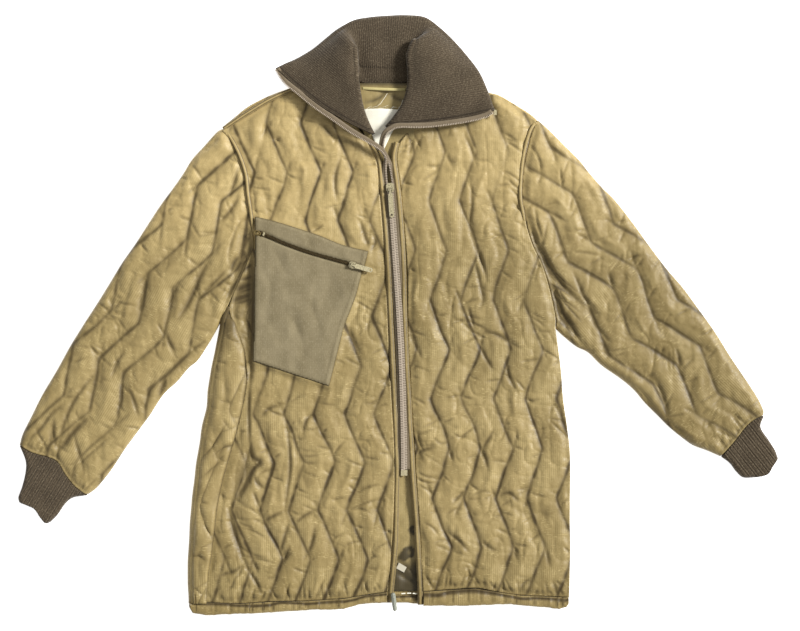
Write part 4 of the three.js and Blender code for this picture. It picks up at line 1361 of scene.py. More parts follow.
def tooth_mesh(length: float, width: float, height: float) -> tuple[Array, list]:
    """One zip tooth, modelled once: a bar with bevelled edges.

    Args:
        length: Size across the zip.
        width: Size along the zip.
        height: Size up from the tape.

    Returns:
        Its vertices in millimetres and its faces.
    """
    bpy.ops.object.select_all(action="DESELECT")
    bpy.ops.mesh.primitive_cube_add(size=1.0)
    bar = bpy.context.object
    bpy.ops.object.mode_set(mode="EDIT")
    bpy.ops.mesh.select_all(action="SELECT")
    bpy.ops.transform.resize(value=(length, width, height))
    bpy.ops.mesh.bevel(offset=min(width, height) * 0.22, segments=1)
    bpy.ops.object.mode_set(mode="OBJECT")
    places = np.array([vertex.co[:] for vertex in bar.data.vertices])
    faces = [list(polygon.vertices) for polygon in bar.data.polygons]
    bpy.data.objects.remove(bar)
    return places, faces


def tooth_row(name: str, route: Sequence, pitch: float, size: tuple, shifts: tuple, stuff: Stuff,
              *stands_for: str) -> None:
    """Makes rows of teeth along a route, each copy with its own vertices.

    Args:
        name: Name of the piece.
        route: x, y and z of the middle of the teeth.
        pitch: Distance between the teeth of a row.
        size: Size of a tooth across, along and up.
        shifts: How far each row lies to one side of the route.
        stuff: What the teeth are made of.
        stands_for: Nodes of the part that they replace.
    """
    even = spline(route, pitch / 2)
    run = heading(even)
    tooth, tooth_faces = tooth_mesh(*size)
    places, faces = [], []
    for row, shift in enumerate(shifts):
        for middle, ahead in zip(even[row % 2::2], run[row % 2::2]):
            across = np.array([ahead[1], -ahead[0], 0.0]) / math.hypot(ahead[0], ahead[1])
            up = np.cross(across, ahead)
            start = len(places) * len(tooth)
            places.append(middle + shift * across + tooth @ np.stack([across, ahead, up]))
            faces += [[start + corner for corner in face] for face in tooth_faces]
    dress(mesh_object(name, np.vstack(places), faces, smooth=False), stuff, *stands_for)


@dataclass
class FrontZip:
    """The front zip: closed from its bottom stop to the slider, and open round the collar."""
    line: tuple = (
        (14, -216), (14, -200), (13.4, -150), (12, -100), (10.4, -50), (8, 0), (5, 50), (1.5, 100), (-2, 150),
        (-5, 190), (-7.8, 222))
    height: float = 17.6
    open_right: tuple = (
        (-12.6, 224, 17), (-13.6, 240, 17.4), (-14.4, 255, 18.5), (-14, 267, 21.5), (-24, 279, 25), (-43, 290, 27.5),
        (-69, 305, 29), (-98, 325, 29), (-124, 343, 28), (-151, 365, 25.5), (-172, 383, 22.5), (-185, 403, 20))
    open_left: tuple = (
        (-3.4, 224, 16.6), (-5.7, 240, 16.4), (-10.5, 263, 16.8), (-17.6, 281, 19), (-17, 292, 24), (-12.4, 303, 28),
        (-4, 309, 29.5), (8, 312.6, 30), (50, 313, 30), (105, 320, 29.5), (138, 327.5, 29), (151, 334.5, 28.5))
    pitch: float = 2.6
    tooth: tuple = (5.8, 2.0, 1.8)     # size across, along and up where the zip is closed
    open_tooth: tuple = (2.8, 1.5, 1.8)
    row_shift: float = 1.9             # from the line to the middle of a row of teeth
    tape: float = 7.0                  # width of the tape that shows
    tape_thickness: float = 1.2
    tape_shift: float = 5.6            # from the closed teeth to the middle of a tape

    def open_tape(self, open_part: tuple, side: Side) -> list:
        """Middle of a tape beside the open teeth, which it passes under where the knit begins.

        Args:
            open_part: x, y and z of the open teeth.
            side: The side.

        Returns:
            The tape's places past the end of the closed teeth.
        """
        route = np.array(open_part)
        run = heading(route[:, :2])
        away = np.stack([-run[:, 1], run[:, 0]], axis=1) * side.value
        fade = ease(route[:, 1], 226, 300)[:, None]
        moved = route[:, :2] + away * (self.tape / 2 + 0.2) * (2 * fade - 1)
        return [(x, y, z - 1.0 + 3.2 * rise) for (x, y), z, rise in zip(moved, route[:, 2], fade[:, 0])][1:]

    def half(self, side: Side, open_part: tuple) -> None:
        """Makes the tape of one side.

        Args:
            side: The side.
            open_part: x, y and z of its open teeth.
        """
        closed = [(x + side.value * self.tape_shift, y, self.height - 1.4) for x, y in self.line]
        route = spline([*closed, *self.open_tape(open_part, side)], 2.5)
        name = side.of("zip_tape")
        piece = ribbon(f"{name}_cloth", route, self.tape, self.tape_thickness, 0.5)
        up = np.array([vertex.co.y for vertex in piece.data.vertices]) / MM
        set_tone(piece.data, 0.3 * (1 - ease(up, 215, 250)))       # darker where the zip is closed
        dress(piece, Stuff.TAPE, name)

    def build(self) -> None:
        """Makes the tapes and the teeth."""
        halves = ((Side.RIGHT, self.open_right), (Side.LEFT, self.open_left))
        for side, open_part in halves:
            self.half(side, open_part)
        closed = [(x, y, self.height) for x, y in self.line]
        tooth_row("zip_chain_teeth", closed, self.pitch, self.tooth, (-self.row_shift, self.row_shift),
                  Stuff.TEETH, "zip_chain")
        for side, open_part in halves:
            route = [(x, y, z + 3.0 * ease(y, 226, 300)) for x, y, z in open_part]
            tooth_row(side.of("zip_teeth"), route, self.pitch, self.open_tooth, (0.0,), Stuff.TEETH)


# ---- neck

@dataclass
class Neck:
    """What shows inside: the lining of the back, the blank label and the hanger loop."""
    lining_rows: tuple = (             # y, right edge, left edge
        (-405, -14, 46), (230, -14, 46), (290, -42, 40), (340, -62, 36), (384, -62, 36))
    folds: tuple = creases(
        Mark.FOLD, (-50, 352, -32, 356, -17, 366, -10, 371), (30, 350, 8, 357, -12, 368),
        (-4, -350, 14, -366, 34, -378), (4, -378, 20, -388, 36, -392))
    stains: tuple = ((22, -345, 7.0), (29, -311, 5.0), (13, -352, 4.0))        # x, y and radius
    label: tuple = (
        (-28, 280), (-17, 280), (-7, 302), (5, 324), (8.5, 341), (-21, 343), (-51, 342), (-47, 328), (-38, 310))
    threads: tuple = (                 # loose ones at the label's upper edge
        ((-40, 342), (-32, 345), (-24, 349), (-18, 357), (-12, 366)), ((4, 341), (9, 347), (12, 356)),
        ((-28, 342), (-18, 344.5), (-6, 343), (2, 345)), ((-46, 341), (-36, 346), (-22, 344), (-10, 348)),
        ((-6, 342), (-2, 346), (3, 344), (8, 346)))
    thread: float = 0.42               # half width of a thread
    hanger: tuple = ((-51, 374.5, 16.5), (-34, 373.4, 19), (-14, 372.6, 19.6), (4, 372.4, 19), (17, 373, 16.5))
    hanger_width: float = 4.6
    hanger_thickness: float = 1.4
    tacks: tuple = ((13, -409, 11), (24, -408.5, 11), (35, -409.5, 11))        # pale stitches at the slit's foot
    tack_pitch: float = 8.5
    tack: tuple = (1.7, 6.4, 0.8)      # size of a stitch across, along and up
    lining_height: float = 8.2         # in the slit, where it lies lowest
    lining_thickness: float = 0.8
    label_height: float = 13.2         # at its foot
    label_thickness: float = 0.7
    thread_height: float = 19.8

    def lining(self) -> None:
        """Makes the lining, with its soft folds, its dark spots of soiling and painted shade towards its foot."""
        table = np.array(self.lining_rows)
        y = np.arange(-405.0, 384.1, 2.5)
        right, left = (np.interp(y, table[:, 0], table[:, edge]) for edge in (1, 2))
        shares = np.linspace(0, 1, 25)
        flat = np.vstack([np.column_stack([right + (left - right) * share, y]) for share in shares])
        lift = 6.5 * ease(flat[:, 1], 250, 330) + 1.2 * mottle(flat, (16, 30), 41) + 0.6 * mottle(flat, (7, 12), 42)
        sunk, tone = relief(flat, self.folds)
        stains_and_foot_shade = np.zeros(len(flat))
        for x, middle, size in self.stains:
            away = np.hypot(flat[:, 0] - x, flat[:, 1] - middle) + 1.5 * mottle(flat, 5, 44)
            stains_and_foot_shade += 1.2 * bell(away - size, 2.6) + 0.6 * (away < size)
        # painted shade: the lining darkens towards the foot of the slit
        stains_and_foot_shade += 0.95 * ease(-flat[:, 1], 348, 372) * (0.9 + 0.3 * mottle(flat, 12, 45))
        neck_seam = 0.9 * bell(flat[:, 1] - 382, 4)
        piece = mesh_object("back_lining_cloth", np.column_stack([flat, self.lining_height + (lift + sunk)]),
                            grid_faces(len(shares), len(y)), flat,
                            np.clip(np.max([1.2 * stains_and_foot_shade, tone, neck_seam], axis=0), 0, 1))
        thicken(piece, self.lining_thickness)
        dress(piece, Stuff.LINING, "back_lining")

    def fraying(self) -> Piece:
        """Makes the label's loose threads, six-sided tubes."""
        turns = np.linspace(0, 2 * math.pi, 7)[:-1]
        ring = np.array([(math.cos(turn), 0, math.sin(turn)) for turn in turns]) * self.thread
        parts, faces, start = [], [], 0
        for route in self.threads:
            path = spline([(x, y, self.thread_height) for x, y in route], 1.2)
            parts.append((path[:, None] + ring).reshape(-1, 3))
            last = start + len(parts[-1]) - 6
            faces += [[r + c, r + (c + 1) % 6, r + 6 + (c + 1) % 6, r + 6 + c]
                      for r in range(start, last, 6) for c in range(6)]
            faces += [[start + c for c in range(6)][::-1], [last + c for c in range(6)]]
            start = last + 6
        places = np.vstack(parts)
        return mesh_object("neck_label_fraying", places, faces, places)

    def blank_label(self) -> None:
        """Makes the label, with its frayed upper edge."""
        outline = outline_of(*zip(self.label, (*self.label[1:], self.label[0])), step=2.0)
        flat, faces = trimmed(grid_points(np.arange(-52, 10, 2.0), np.arange(280, 343, 2.0)), outline, 2.0)
        y = flat[:, 1]
        height = self.label_height + 5.2 * ease(y, 298, 322) + 1.0 * mottle(flat, 26, 51) + 0.8 * ease(y, 325, 343)
        piece = mesh_object("neck_label_cloth", np.column_stack([flat, height]), faces, flat)
        thicken(piece, self.label_thickness)
        frayed = self.fraying()
        select_only(piece)
        frayed.select_set(True)
        bpy.ops.object.join()
        dress(piece, Stuff.LABEL, "neck_label")

    def build(self) -> None:
        """Makes everything at the neck and in the slit."""
        tooth_row("slit_tack_stitches", self.tacks, self.tack_pitch, self.tack, (0.0,), Stuff.LABEL)
        hanger = ribbon("hanger_loop_tape", spline(self.hanger, 2.0), self.hanger_width, self.hanger_thickness, 0.6)
        dress(hanger, Stuff.LOOP, "hanger_loop")
        self.lining()
        self.blank_label()


# ---- chest pocket

@dataclass
class ChestPocket:
    """The slanted patch pocket with its zip, stitched on the wearer's right."""
    top: tuple = ((-209, 174), (-178, 166), (-119, 147), (-82, 132), (-41, 122))
    inner: tuple = ((-41, 122), (-46, 97), (-54, 77), (-60, 55), (-70, 28), (-80, 0), (-102, -87))
    foot: tuple = ((-102, -87), (-157, -69), (-186, -59), (-220, -48))
    outer: tuple = ((-220, -48), (-218, 25), (-217, 106), (-209, 174))
    strip_end: tuple = ((-216.5, 152), (-217, 175))        # outer end of the strip
    bag_end: tuple = (-216.5, 148)                         # upper outer corner of the bag
    zip: tuple = ((-209, 150), (-198, 146), (-171, 134), (-134, 120.5), (-97, 110), (-72, 103), (-50, 95))
    stop: tuple = ((-203, 148.4), (-200.2, 147.2))
    slack: tuple = creases(
        Mark.SOFT, (-186, 124, -176, 100, -166, 84), (-200, 90, -192, 60, -204, 20),
        (-168, 30, -150, 0, -138, -40), (-120, 80, -128, 40, -116, 0), weight=0.6)
    height: float = 21.5
    thickness: float = 1.3
    tape_width: float = 10.0
    tape_thickness: float = 1.0
    pitch: float = 2.4
    tooth: tuple = (3.2, 1.3, 1.5)     # size across, along and up
    row_shift: float = 0.9             # from the zip's line to the middle of a row of teeth
    stop_size: tuple = (5.6, 2.8, 2.0)

    def outline(self) -> Array:
        """The pocket's outline."""
        return outline_of(self.top, self.inner, self.foot, self.outer, step=3.0)

    def part(self, node: str, outline: Array, lift: float, width: float, length: float, *sewn_on: str) -> None:
        """Makes one cotton piece of the pocket.

        Args:
            node: Node of the part that it replaces.
            outline: Its outline.
            lift: How much it lies above the pocket's height.
            width: Width of its cut in metres; not used.
            length: Length of its cut in metres; not used.
            sewn_on: Names of the tapes sewn to it; not used.
        """
        flat, faces = plain_fill(outline, 2.0)
        border = border_gap(flat, outline)
        height = self.height + lift - 1.6 * (1 - ease(border, 0, 5)) + 1.3 * mottle(flat, (26, 60), 61)
        height += 0.5 * mottle(flat, (11, 19), 62) * ease(border, 2, 12)
        height += relief(flat, self.slack)[0]
        seam = line_gap(flat, self.inner, 3.0)
        tone = np.maximum(0.8 * bell(border, 1.1), 0.3 * bell(seam - 8, 1.2))
        piece = mesh_object(f"{node}_cotton", np.column_stack([flat, height]), faces, flat, tone)
        thicken(piece, self.thickness)
        dress(piece, Stuff.POCKET, node)

    def raised(self, line: Sequence, lift: float) -> list:
        """A line of x and y at the pocket's height and this much more."""
        return [(x, y, self.height + lift) for x, y in line]

    def build(self) -> None:
        """Makes the pocket."""
        above, below = ([(x, y + gap) for x, y in self.zip] for gap in (1.5, -1.5))
        end, (heel, corner) = (above[-1][0] + 2, above[-1][1]), self.strip_end
        strip = outline_of([corner, *self.top], [self.top[-1], end], [end, *above[-2::-1]], [above[0], heel],
                           [heel, corner], step=2.5)
        bag = outline_of(below, [below[-1], *self.inner[3:]], self.foot, [*self.outer[:3], self.bag_end],
                         [self.bag_end, below[0]], step=2.5)
        tape = ribbon("pocket_zip_tape", spline(self.raised(self.zip, -0.9), 2.5), self.tape_width,
                      self.tape_thickness)
        dress(tape, Stuff.DARK_TAPE)
        self.part("pocket_strip", strip, 0.4, 0.18, 0.075)
        self.part("pocket_bag", bag, 0.0, 0.17, 0.24, "pocket_zip_tape")
        tooth_row("pocket_zip_teeth", self.raised(self.zip[1:-1], 0.9), self.pitch, self.tooth,
                  (-self.row_shift, self.row_shift), Stuff.DARK_TEETH, "pocket_zip")
        tooth_row("pocket_zip_stop", self.raised(self.stop, 1.4), 6.0, self.stop_size, (0.0,), Stuff.METAL)


# ---- studio

@dataclass
class Studio:
    """A pale floor, soft lights and a camera straight above."""
    wide: float = 1240.0               # width of the view at the jacket's middle height
    centre: tuple = (7.75, 22.5, 15.0)
    away: float = 3000.0
    window: tuple = (0.8, 0.3, 0.56)   # direction that the lamp's light comes from
    strength: float = 5.0
    softness: float = 14.0             # the lamp's width, in degrees

    def floor(self) -> None:
        """Lays the plain pale floor."""
        bpy.ops.mesh.primitive_plane_add(size=80.0, location=(0, 0, -0.0005))
        floor = bpy.context.object
        floor.name = "floor"
        # lit a little from behind, so that the board stays white where the jacket shades it
        board = Finish("matt_white_board", "f6f6f5", 0.95, specular=0.1, glow=0.8)
        floor.data.materials.append(board.make())

    def lights(self) -> None:
        """Sets an even sky, and one wide soft lamp far off to the wearer's left."""
        world = bpy.data.worlds.new("studio")
        bpy.context.scene.world = world
        world.use_nodes = True
        sky = world.node_tree.nodes["Background"]
        sky.inputs["Color"].default_value = (1, 1, 1, 1)
        sky.inputs["Strength"].default_value = 0.42
        data = bpy.data.lights.new("window", "SUN")
        data.energy, data.angle = self.strength, math.radians(self.softness)
        lamp = bpy.data.objects.new("window", data)
        bpy.context.scene.collection.objects.link(lamp)
        lamp.rotation_euler = Vector(self.window).to_track_quat("Z", "Y").to_euler()
        bpy.context.scene.view_settings.view_transform = "Standard"

    def camera(self) -> None:
        """Sets the camera."""
        data = bpy.data.cameras.new("camera")
        data.sensor_width = 36.0
        data.lens = 36.0 * self.away / self.wide
        camera = bpy.data.objects.new("camera", data)
        bpy.context.scene.collection.objects.link(camera)
        camera.location = Vector(self.centre) * MM + Vector((0, 0, self.away * MM))
        bpy.context.scene.camera = camera

    def build(self) -> None:
        """Sets up all of it."""
        self.floor()
        self.lights()
        self.camera()


# ---- the jacket

# The darkness of these creases is partly grime and partly painted shade; the two shade kinds are painted shade only.
FRONT_RIGHT_CREASES = (
    *creases(
        Mark.DEEP, (-219, 102, -230, 97, -238, 88), (-218, 86, -230, 80, -242, 78), (-217, 66, -233, 61, -248, 54),
        (-219, 50, -236, 44, -252, 40)),
    *creases(Mark.DARK_SHADE, (-219, 72, -234, 67, -250, 60), (-219, 57, -236, 51, -256, 44), weight=1.3),
    *creases(Mark.SHADE, (-222, 34, -238, 26, -256, 18), (-222, 4, -234, -8, -246, -22), weight=1.3),
    *creases(
        Mark.DARK_SHADE, (-246, 84, -243, 50, -250, 16), (-220, 128, -226, 70, -228, 10, -232, -60),
        (-228, -196, -236, -226, -250, -262), weight=0.8),
    *creases(
        Mark.SHADE, (-120, 326, -96, 306, -66, 290, -42, 268), (-246, -262, -245, -286, -238, -306),
        (-234, 118, -232, 60, -232, 0, -230, -50)),
    *creases(
        Mark.DEEP, (-238, -30, -237, -56, -230, -72, -240, -84, -247, -108, -252, -132),
        (-226, -176, -222, -198, -210, -205, -222, -218, -232, -240, -244, -258, -257, -278),
        (-258, -276, -254, -296, -248, -318, -242, -336, -234, -360),
        (-222, 120, -220, 70, -221, 0, -223, -50, -228, -80)),
    *creases(
        Mark.FOLD, (-112, 320, -102, 306, -92, 295), (-196, 334, -199, 316, -205, 300),
        (-84, 268, -92, 242, -93, 222, -90, 200), (-54, 168, -47, 147, -40, 126), (-34, 150, -30, 138, -38, 122),
        (-72, 2, -65, -18, -56, -36), (-172, -126, -168, -150, -164, -180, -163, -215, -167, -250, -171, -282),
        (-208, -135, -196, -122, -180, -117), (-227, -88, -227, -130, -226, -178),
        (-230, -184, -231, -212, -230, -238), (-234, -356, -226, -374, -214, -394, -206, -412),
        (-234, -364, -250, -374, -264, -378, -280, -384), (-218, -226, -214, -238, -204, -245),
        (-208, -299, -192, -290, -174, -282), (-179, -346, -172, -322, -166, -300),
        (-184, -369, -172, -356, -164, -336), (-155, -299, -142, -289, -125, -279),
        (-126, -129, -138, -140, -143, -160), (-140, -354, -130, -332, -124, -304)),
    *creases(
        Mark.PUCKER, (-213, -223, -198, -218, -183, -218), (-234, -307, -220, -312, -203, -321),
        (-241, -337, -222, -348, -202, -353), (-237, -350, -212, -355, -188, -361),
        (-149, -196, -134, -196, -120, -194), (-146, -205, -134, -207, -124, -206), (-98, -197, -88, -182, -79, -173),
        (-53, -198, -40, -199, -26, -201), (-61, -248, -44, -244, -26, -240), (-69, -277, -46, -268, -22, -262),
        (-99, -264, -88, -261, -79, -260), (-77, -279, -57, -277, -38, -283), (-80, -335, -62, -328, -48, -332),
        (-100, -326, -90, -320, -80, -316), (-28, -120, -20, -116, -12, -116), (-250, -386, -242, -378, -236, -366),
        (-270, -340, -258, -334, -250, -332), (-262, -404, -254, -398, -250, -388)),
    *creases(
        Mark.SOFT, (-188, 352, -197, 330, -203, 300, -212, 270, -220, 244), (-241, 323, -234, 302, -228, 284),
        (-225, 334, -228, 305, -222, 275), (-150, 238, -146, 215, -152, 190), (-58, 208, -50, 182, -46, 158),
        (-158, -162, -153, -195, -155, -230, -162, -264), (-150, -214, -142, -232, -138, -248),
        (-43, -356, -34, -342, -25, -330), (-208, -155, -200, -180, -192, -196), (-105, 250, -110, 220, -112, 195),
        (-190, 300, -176, 285, -168, 268), (-212, 230, -200, 205, -196, 185), (-66, 240, -60, 222, -56, 205)),
)

FRONT_LEFT_CREASES = (
    *creases(Mark.SHADE, (14, 296, 50, 299, 100, 304)),
    *creases(
        Mark.FOLD, (118, 224, 119, 196, 116, 170, 118, 146), (122, 109, 129, 84, 133, 64, 137, 46, 131, 34),
        (118, 146, 130, 118, 140, 88, 142, 76), (108, 302, 118, 280, 126, 256), (113, 36, 119, 16, 124, 0),
        (22, -2, 31, -22, 41, -44), (130, -22, 140, -42, 151, -62), (134, -1, 150, -5, 163, -10, 176, -18, 194, -28),
        (172, -46, 176, -70, 187, -94), (135, -183, 144, -170, 152, -156), (134, -184, 140, -200, 143, -216),
        (30, -197, 40, -188, 59, -182), (80, -313, 98, -326, 114, -343), (107, -250, 99, -258, 90, -267),
        (133, -326, 146, -337, 157, -342), (157, -258, 176, -253, 193, -266), (195, -405, 198, -394, 209, -385),
        (26, 306, 26, 290, 22, 272)),
    *creases(
        Mark.PUCKER, (-2, 303, 13, 306, 27, 313), (2, 292, 15, 296, 29, 301), (5, 283, 17, 286, 29, 293),
        (0, 275, 12, 277, 25, 276), (30, 300, 36, 290, 40, 280), (19, -2, 31, -4, 45, -9), (19, 7, 28, 12),
        (98, 16, 110, 6, 122, -4, 135, -10), (188, -78, 201, -93), (179, -180, 198, -185),
        (27, -105, 38, -110, 47, -115), (34, -158, 38, -174, 43, -187), (31, -219, 48, -227, 69, -231),
        (31, -229, 46, -236, 63, -237), (37, -241, 50, -248, 61, -257), (59, -167, 72, -176, 87, -167),
        (117, -259, 134, -250, 152, -253), (183, -334, 191, -347), (244, -110, 254, -128, 259, -144),
        (239, -139, 256, -156, 269, -169), (79, -285, 92, -278, 105, -278), (45, -299, 58, -306, 66, -316),
        (262, -336, 271, -345), (47, -380, 54, -392, 60, -403), (111, -366, 117, -384), (123, -382, 131, -397),
        (175, 233, 184, 224, 193, 218), (179, 218, 193, 206), (171, 246, 186, 236, 193, 231), (184, 198, 193, 188),
        (157, -402, 150, -396, 146, -388), (90, -160, 100, -166, 112, -164)),
    *creases(
        Mark.SOFT, (36, 178, 30, 162, 27, 146, 30, 130), (104, 184, 105, 150, 103, 120), (76, 197, 75, 170, 76, 148),
        (26, 264, 17, 240, 12, 220), (84, -28, 95, -42, 106, -54),
        (163, -261, 182, -276, 204, -285, 227, -283, 244, -267), (204, -279, 230, -287, 252, -275),
        (60, 250, 84, 262, 98, 250), (150, 150, 160, 120, 156, 96), (64, 90, 80, 60, 84, 30),
        (150, -346, 160, -330, 166, -316), (96, 30, 84, 8, 90, -12)),
)

SLEEVE_RIGHT_CREASES = (
    *creases(Mark.DARK_SHADE, (-219, 146, -224, 122, -232, 100, -244, 76, -258, 44), (-214, 128, -236, 110, -246, 92)),
    *creases(
        Mark.DEEP, (-224, 150, -232, 134, -238, 118, -235, 104), (-220, 138, -228, 112, -240, 96, -246, 80),
        (-226, 110, -240, 102, -250, 88), (-232, 92, -246, 74, -262, 50), (-240, 116, -250, 104, -254, 88)),
    *creases(Mark.SHADE, (-238, 150, -232, 112, -238, 78), (-336, 124, -360, 106, -386, 82)),
    *creases(
        Mark.DEEP, (-226, 152, -236, 128, -229, 104, -242, 82), (-292, 104, -302, 84, -312, 60, -322, 40, -336, 16),
        (-476, -136, -491, -149, -503, -163, -513, -176, -525, -190), (-357, -74, -361, -90, -366, -104)),
    *creases(
        Mark.FOLD, (-243, 252, -250, 226, -259, 202), (-245, 202, -260, 180, -273, 167),
        (-334, 75, -345, 56, -352, 42), (-260, 94, -278, 76, -300, 54), (-386, 86, -390, 60, -398, 34),
        (-461, -62, -482, -88, -498, -110, -510, -136, -518, -160, -521, -184), (-524, -188, -530, -164, -530, -138),
        (-515, -116, -534, -131, -550, -153, -570, -172), (-420, -34, -431, -50, -439, -74),
        (-356, -6, -350, -20, -341, -34), (-413, -90, -405, -110, -398, -132),
        (-497, -164, -492, -184, -486, -204, -482, -222)),
    *creases(
        Mark.PUCKER, (-227, 177, -240, 168, -250, 146, -257, 122, -258, 104), (-432, -113, -420, -127),
        (-503, -217, -488, -205, -466, -186, -444, -167), (-473, -23, -465, -34, -459, -41),
        (-538, -192, -548, -170, -556, -158), (-364, -68, -352, -62, -338, -53), (-500, -52, -488, -46, -478, -44),
        (-252, 272, -248, 264, -242, 258)),
    *creases(
        Mark.SOFT, (-240, 218, -250, 196, -256, 182), (-424, 24, -430, -2, -446, -26, -456, -46),
        (-300, 280, -284, 288, -274, 300), (-330, 230, -336, 205, -352, 186), (-292, 60, -284, 30, -288, 0),
        (-400, 100, -410, 70, -418, 40), (-540, -60, -546, -90, -556, -120)),
)

SLEEVE_LEFT_CREASES = (
    *creases(Mark.DARK_SHADE, (214, 140, 226, 108, 240, 76, 252, 40, 266, 8), weight=0.5),
    *creases(Mark.RIDGE, (220, 140, 232, 116, 244, 100), (246, 78, 258, 58, 272, 46), (252, 38, 266, 18, 284, 2)),
    *creases(
        Mark.STITCH, (209, 158, 217, 132, 227, 110, 236, 84, 243, 56), (222, 128, 230, 104, 242, 88, 258, 74),
        (228, 118, 244, 94, 262, 76, 284, 58), (238, 92, 252, 70, 262, 48, 284, 30),
        (243, 70, 254, 54, 268, 36, 290, 12), (246, 40, 258, 18, 272, -4, 288, -18),
        (233, 96, 240, 70, 250, 46, 254, 22), weight=1.2),
    *creases(
        Mark.FOLD, (211, 150, 219, 126, 229, 104, 237, 78), (226, 122, 234, 98, 248, 82, 270, 62),
        (236, 84, 245, 50, 258, 16, 276, -8), (232, 112, 244, 92, 262, 66, 286, 44),
        (240, 60, 254, 44, 262, 24, 282, 2), (248, 34, 262, 22, 276, 2, 290, -22), weight=1.15),
    *creases(Mark.SHADE, (232, 118, 246, 82, 262, 60)),
    *creases(Mark.DEEP, (212, 156, 220, 130, 229, 112, 238, 92, 252, 73), (225, 130, 236, 104, 247, 80)),
    *creases(
        Mark.FOLD, (247, 80, 262, 62, 282, 48), (277, 88, 285, 70, 291, 54, 302, 37),
        (299, 42, 306, 20, 313, 4, 332, -18), (203, 264, 206, 250, 215, 242), (245, 46, 256, 22, 268, 6, 286, -14),
        (435, -28, 440, -44, 441, -60), (405, -80, 414, -100, 420, -120, 425, -148),
        (395, -118, 412, -136, 428, -149, 444, -158)),
    *creases(
        Mark.PUCKER, (203, 199, 221, 190, 240, 181), (209, 288, 220, 271, 225, 256, 225, 242),
        (217, 188, 220, 166, 226, 146, 228, 128), (279, 121, 298, 119, 314, 116), (298, 100, 312, 107, 324, 115),
        (353, -48, 370, -62, 386, -75, 404, -83), (468, -114, 484, -106, 498, -97), (538, -122, 552, -118, 564, -109),
        (256, 250, 257, 232), (236, 168, 232, 148, 228, 130), (470, -8, 484, -4, 492, 2)),
    *creases(
        Mark.SOFT, (299, 36, 306, 24, 320, 21), (401, 20, 414, 4, 419, -16), (330, 212, 338, 190, 340, 168),
        (290, 236, 300, 215, 312, 196), (360, 90, 350, 70, 340, 66), (470, -60, 460, -80, 462, -100)),
)

POCKET = ChestPocket()

FRONTS = (
    FrontPanel(
        Side.RIGHT, Quilting(first=-21, lean=-0.024, pitch=-48.5, spread=-0.012, vertex=170, period=150),
        hem=xy(-12, -406, -43, -410, -80, -416, -143, -420, -197, -421, -242, -424, -293, -422),
        flank=xy(
            -293, -422, -291, -378, -284, -334, -278, -282, -268, -231, -256, -190, -246, -157, -237, -120, -230, -76,
            -235, -30, -247, 0, -257, 30, -253, 50, -240, 80, -228, 108, -218, 132, -221, 154, -224, 180, -228, 209,
            -231, 239, -239, 266, -250, 288, -268, 309),
        shoulder=xy(-268, 309, -251, 319, -226, 334, -193, 354, -156, 370, -74, 388),
        opening=xy(
            -74, 388, -62, 326, -56, 312, -42, 290, -30, 266, -25, 225, -15, 100, -11, 0, -6, -100, -1, -200,
            -3, -300, -10, -395, -12, -406), creases=FRONT_RIGHT_CREASES,
        faint=((-150, 240, 34, 0.3), (-28, 190, 22, 0.4), (-205, -110, 26, 0.4), (-200, 330, 30, 0.4)),
        sewn_on=(
            "band_right_cloth", "hem_right_casing", "armhole_seam_right", "shoulder_seam_right",
            "zip_tape_right_cloth"), patch=POCKET.outline(), seed=3),
    FrontPanel(
        Side.LEFT, Quilting(first=20.2, lean=-0.013, pitch=48.3, vertex=200, period=153.3),
        hem=xy(44, -405, 73, -403, 125, -400, 154, -405, 195, -411, 270, -414),
        flank=xy(
            270, -414, 271, -382, 272, -334, 271, -279, 272, -223, 271, -186, 267, -150, 261, -109, 258, -69,
            254, -35, 249, 0, 248, 25, 237, 73, 226, 106, 215, 128, 206, 154, 201, 176, 196, 205, 197, 239, 203, 275,
            212, 308, 221, 321), shoulder=xy(221, 321, 210, 331, 186, 347, 162, 361, 142, 367, 46, 387),
        opening=xy(
            46, 387, 32, 326, 24, 312, 8, 290, 3, 266, 8, 225, 19, 100, 20, 0, 25, -100, 31, -200, 38, -300, 43, -395,
            44, -405), creases=FRONT_LEFT_CREASES,
        faint=((178, 236, 48, 0.8), (212, 62, 42, 0.55), (150, 262, 24, 0.5), (222, -190, 24, 0.4)),
        sewn_on=("band_left_cloth", "hem_left_casing", "armhole_seam_left", "zip_tape_left_cloth"), seed=13),
)

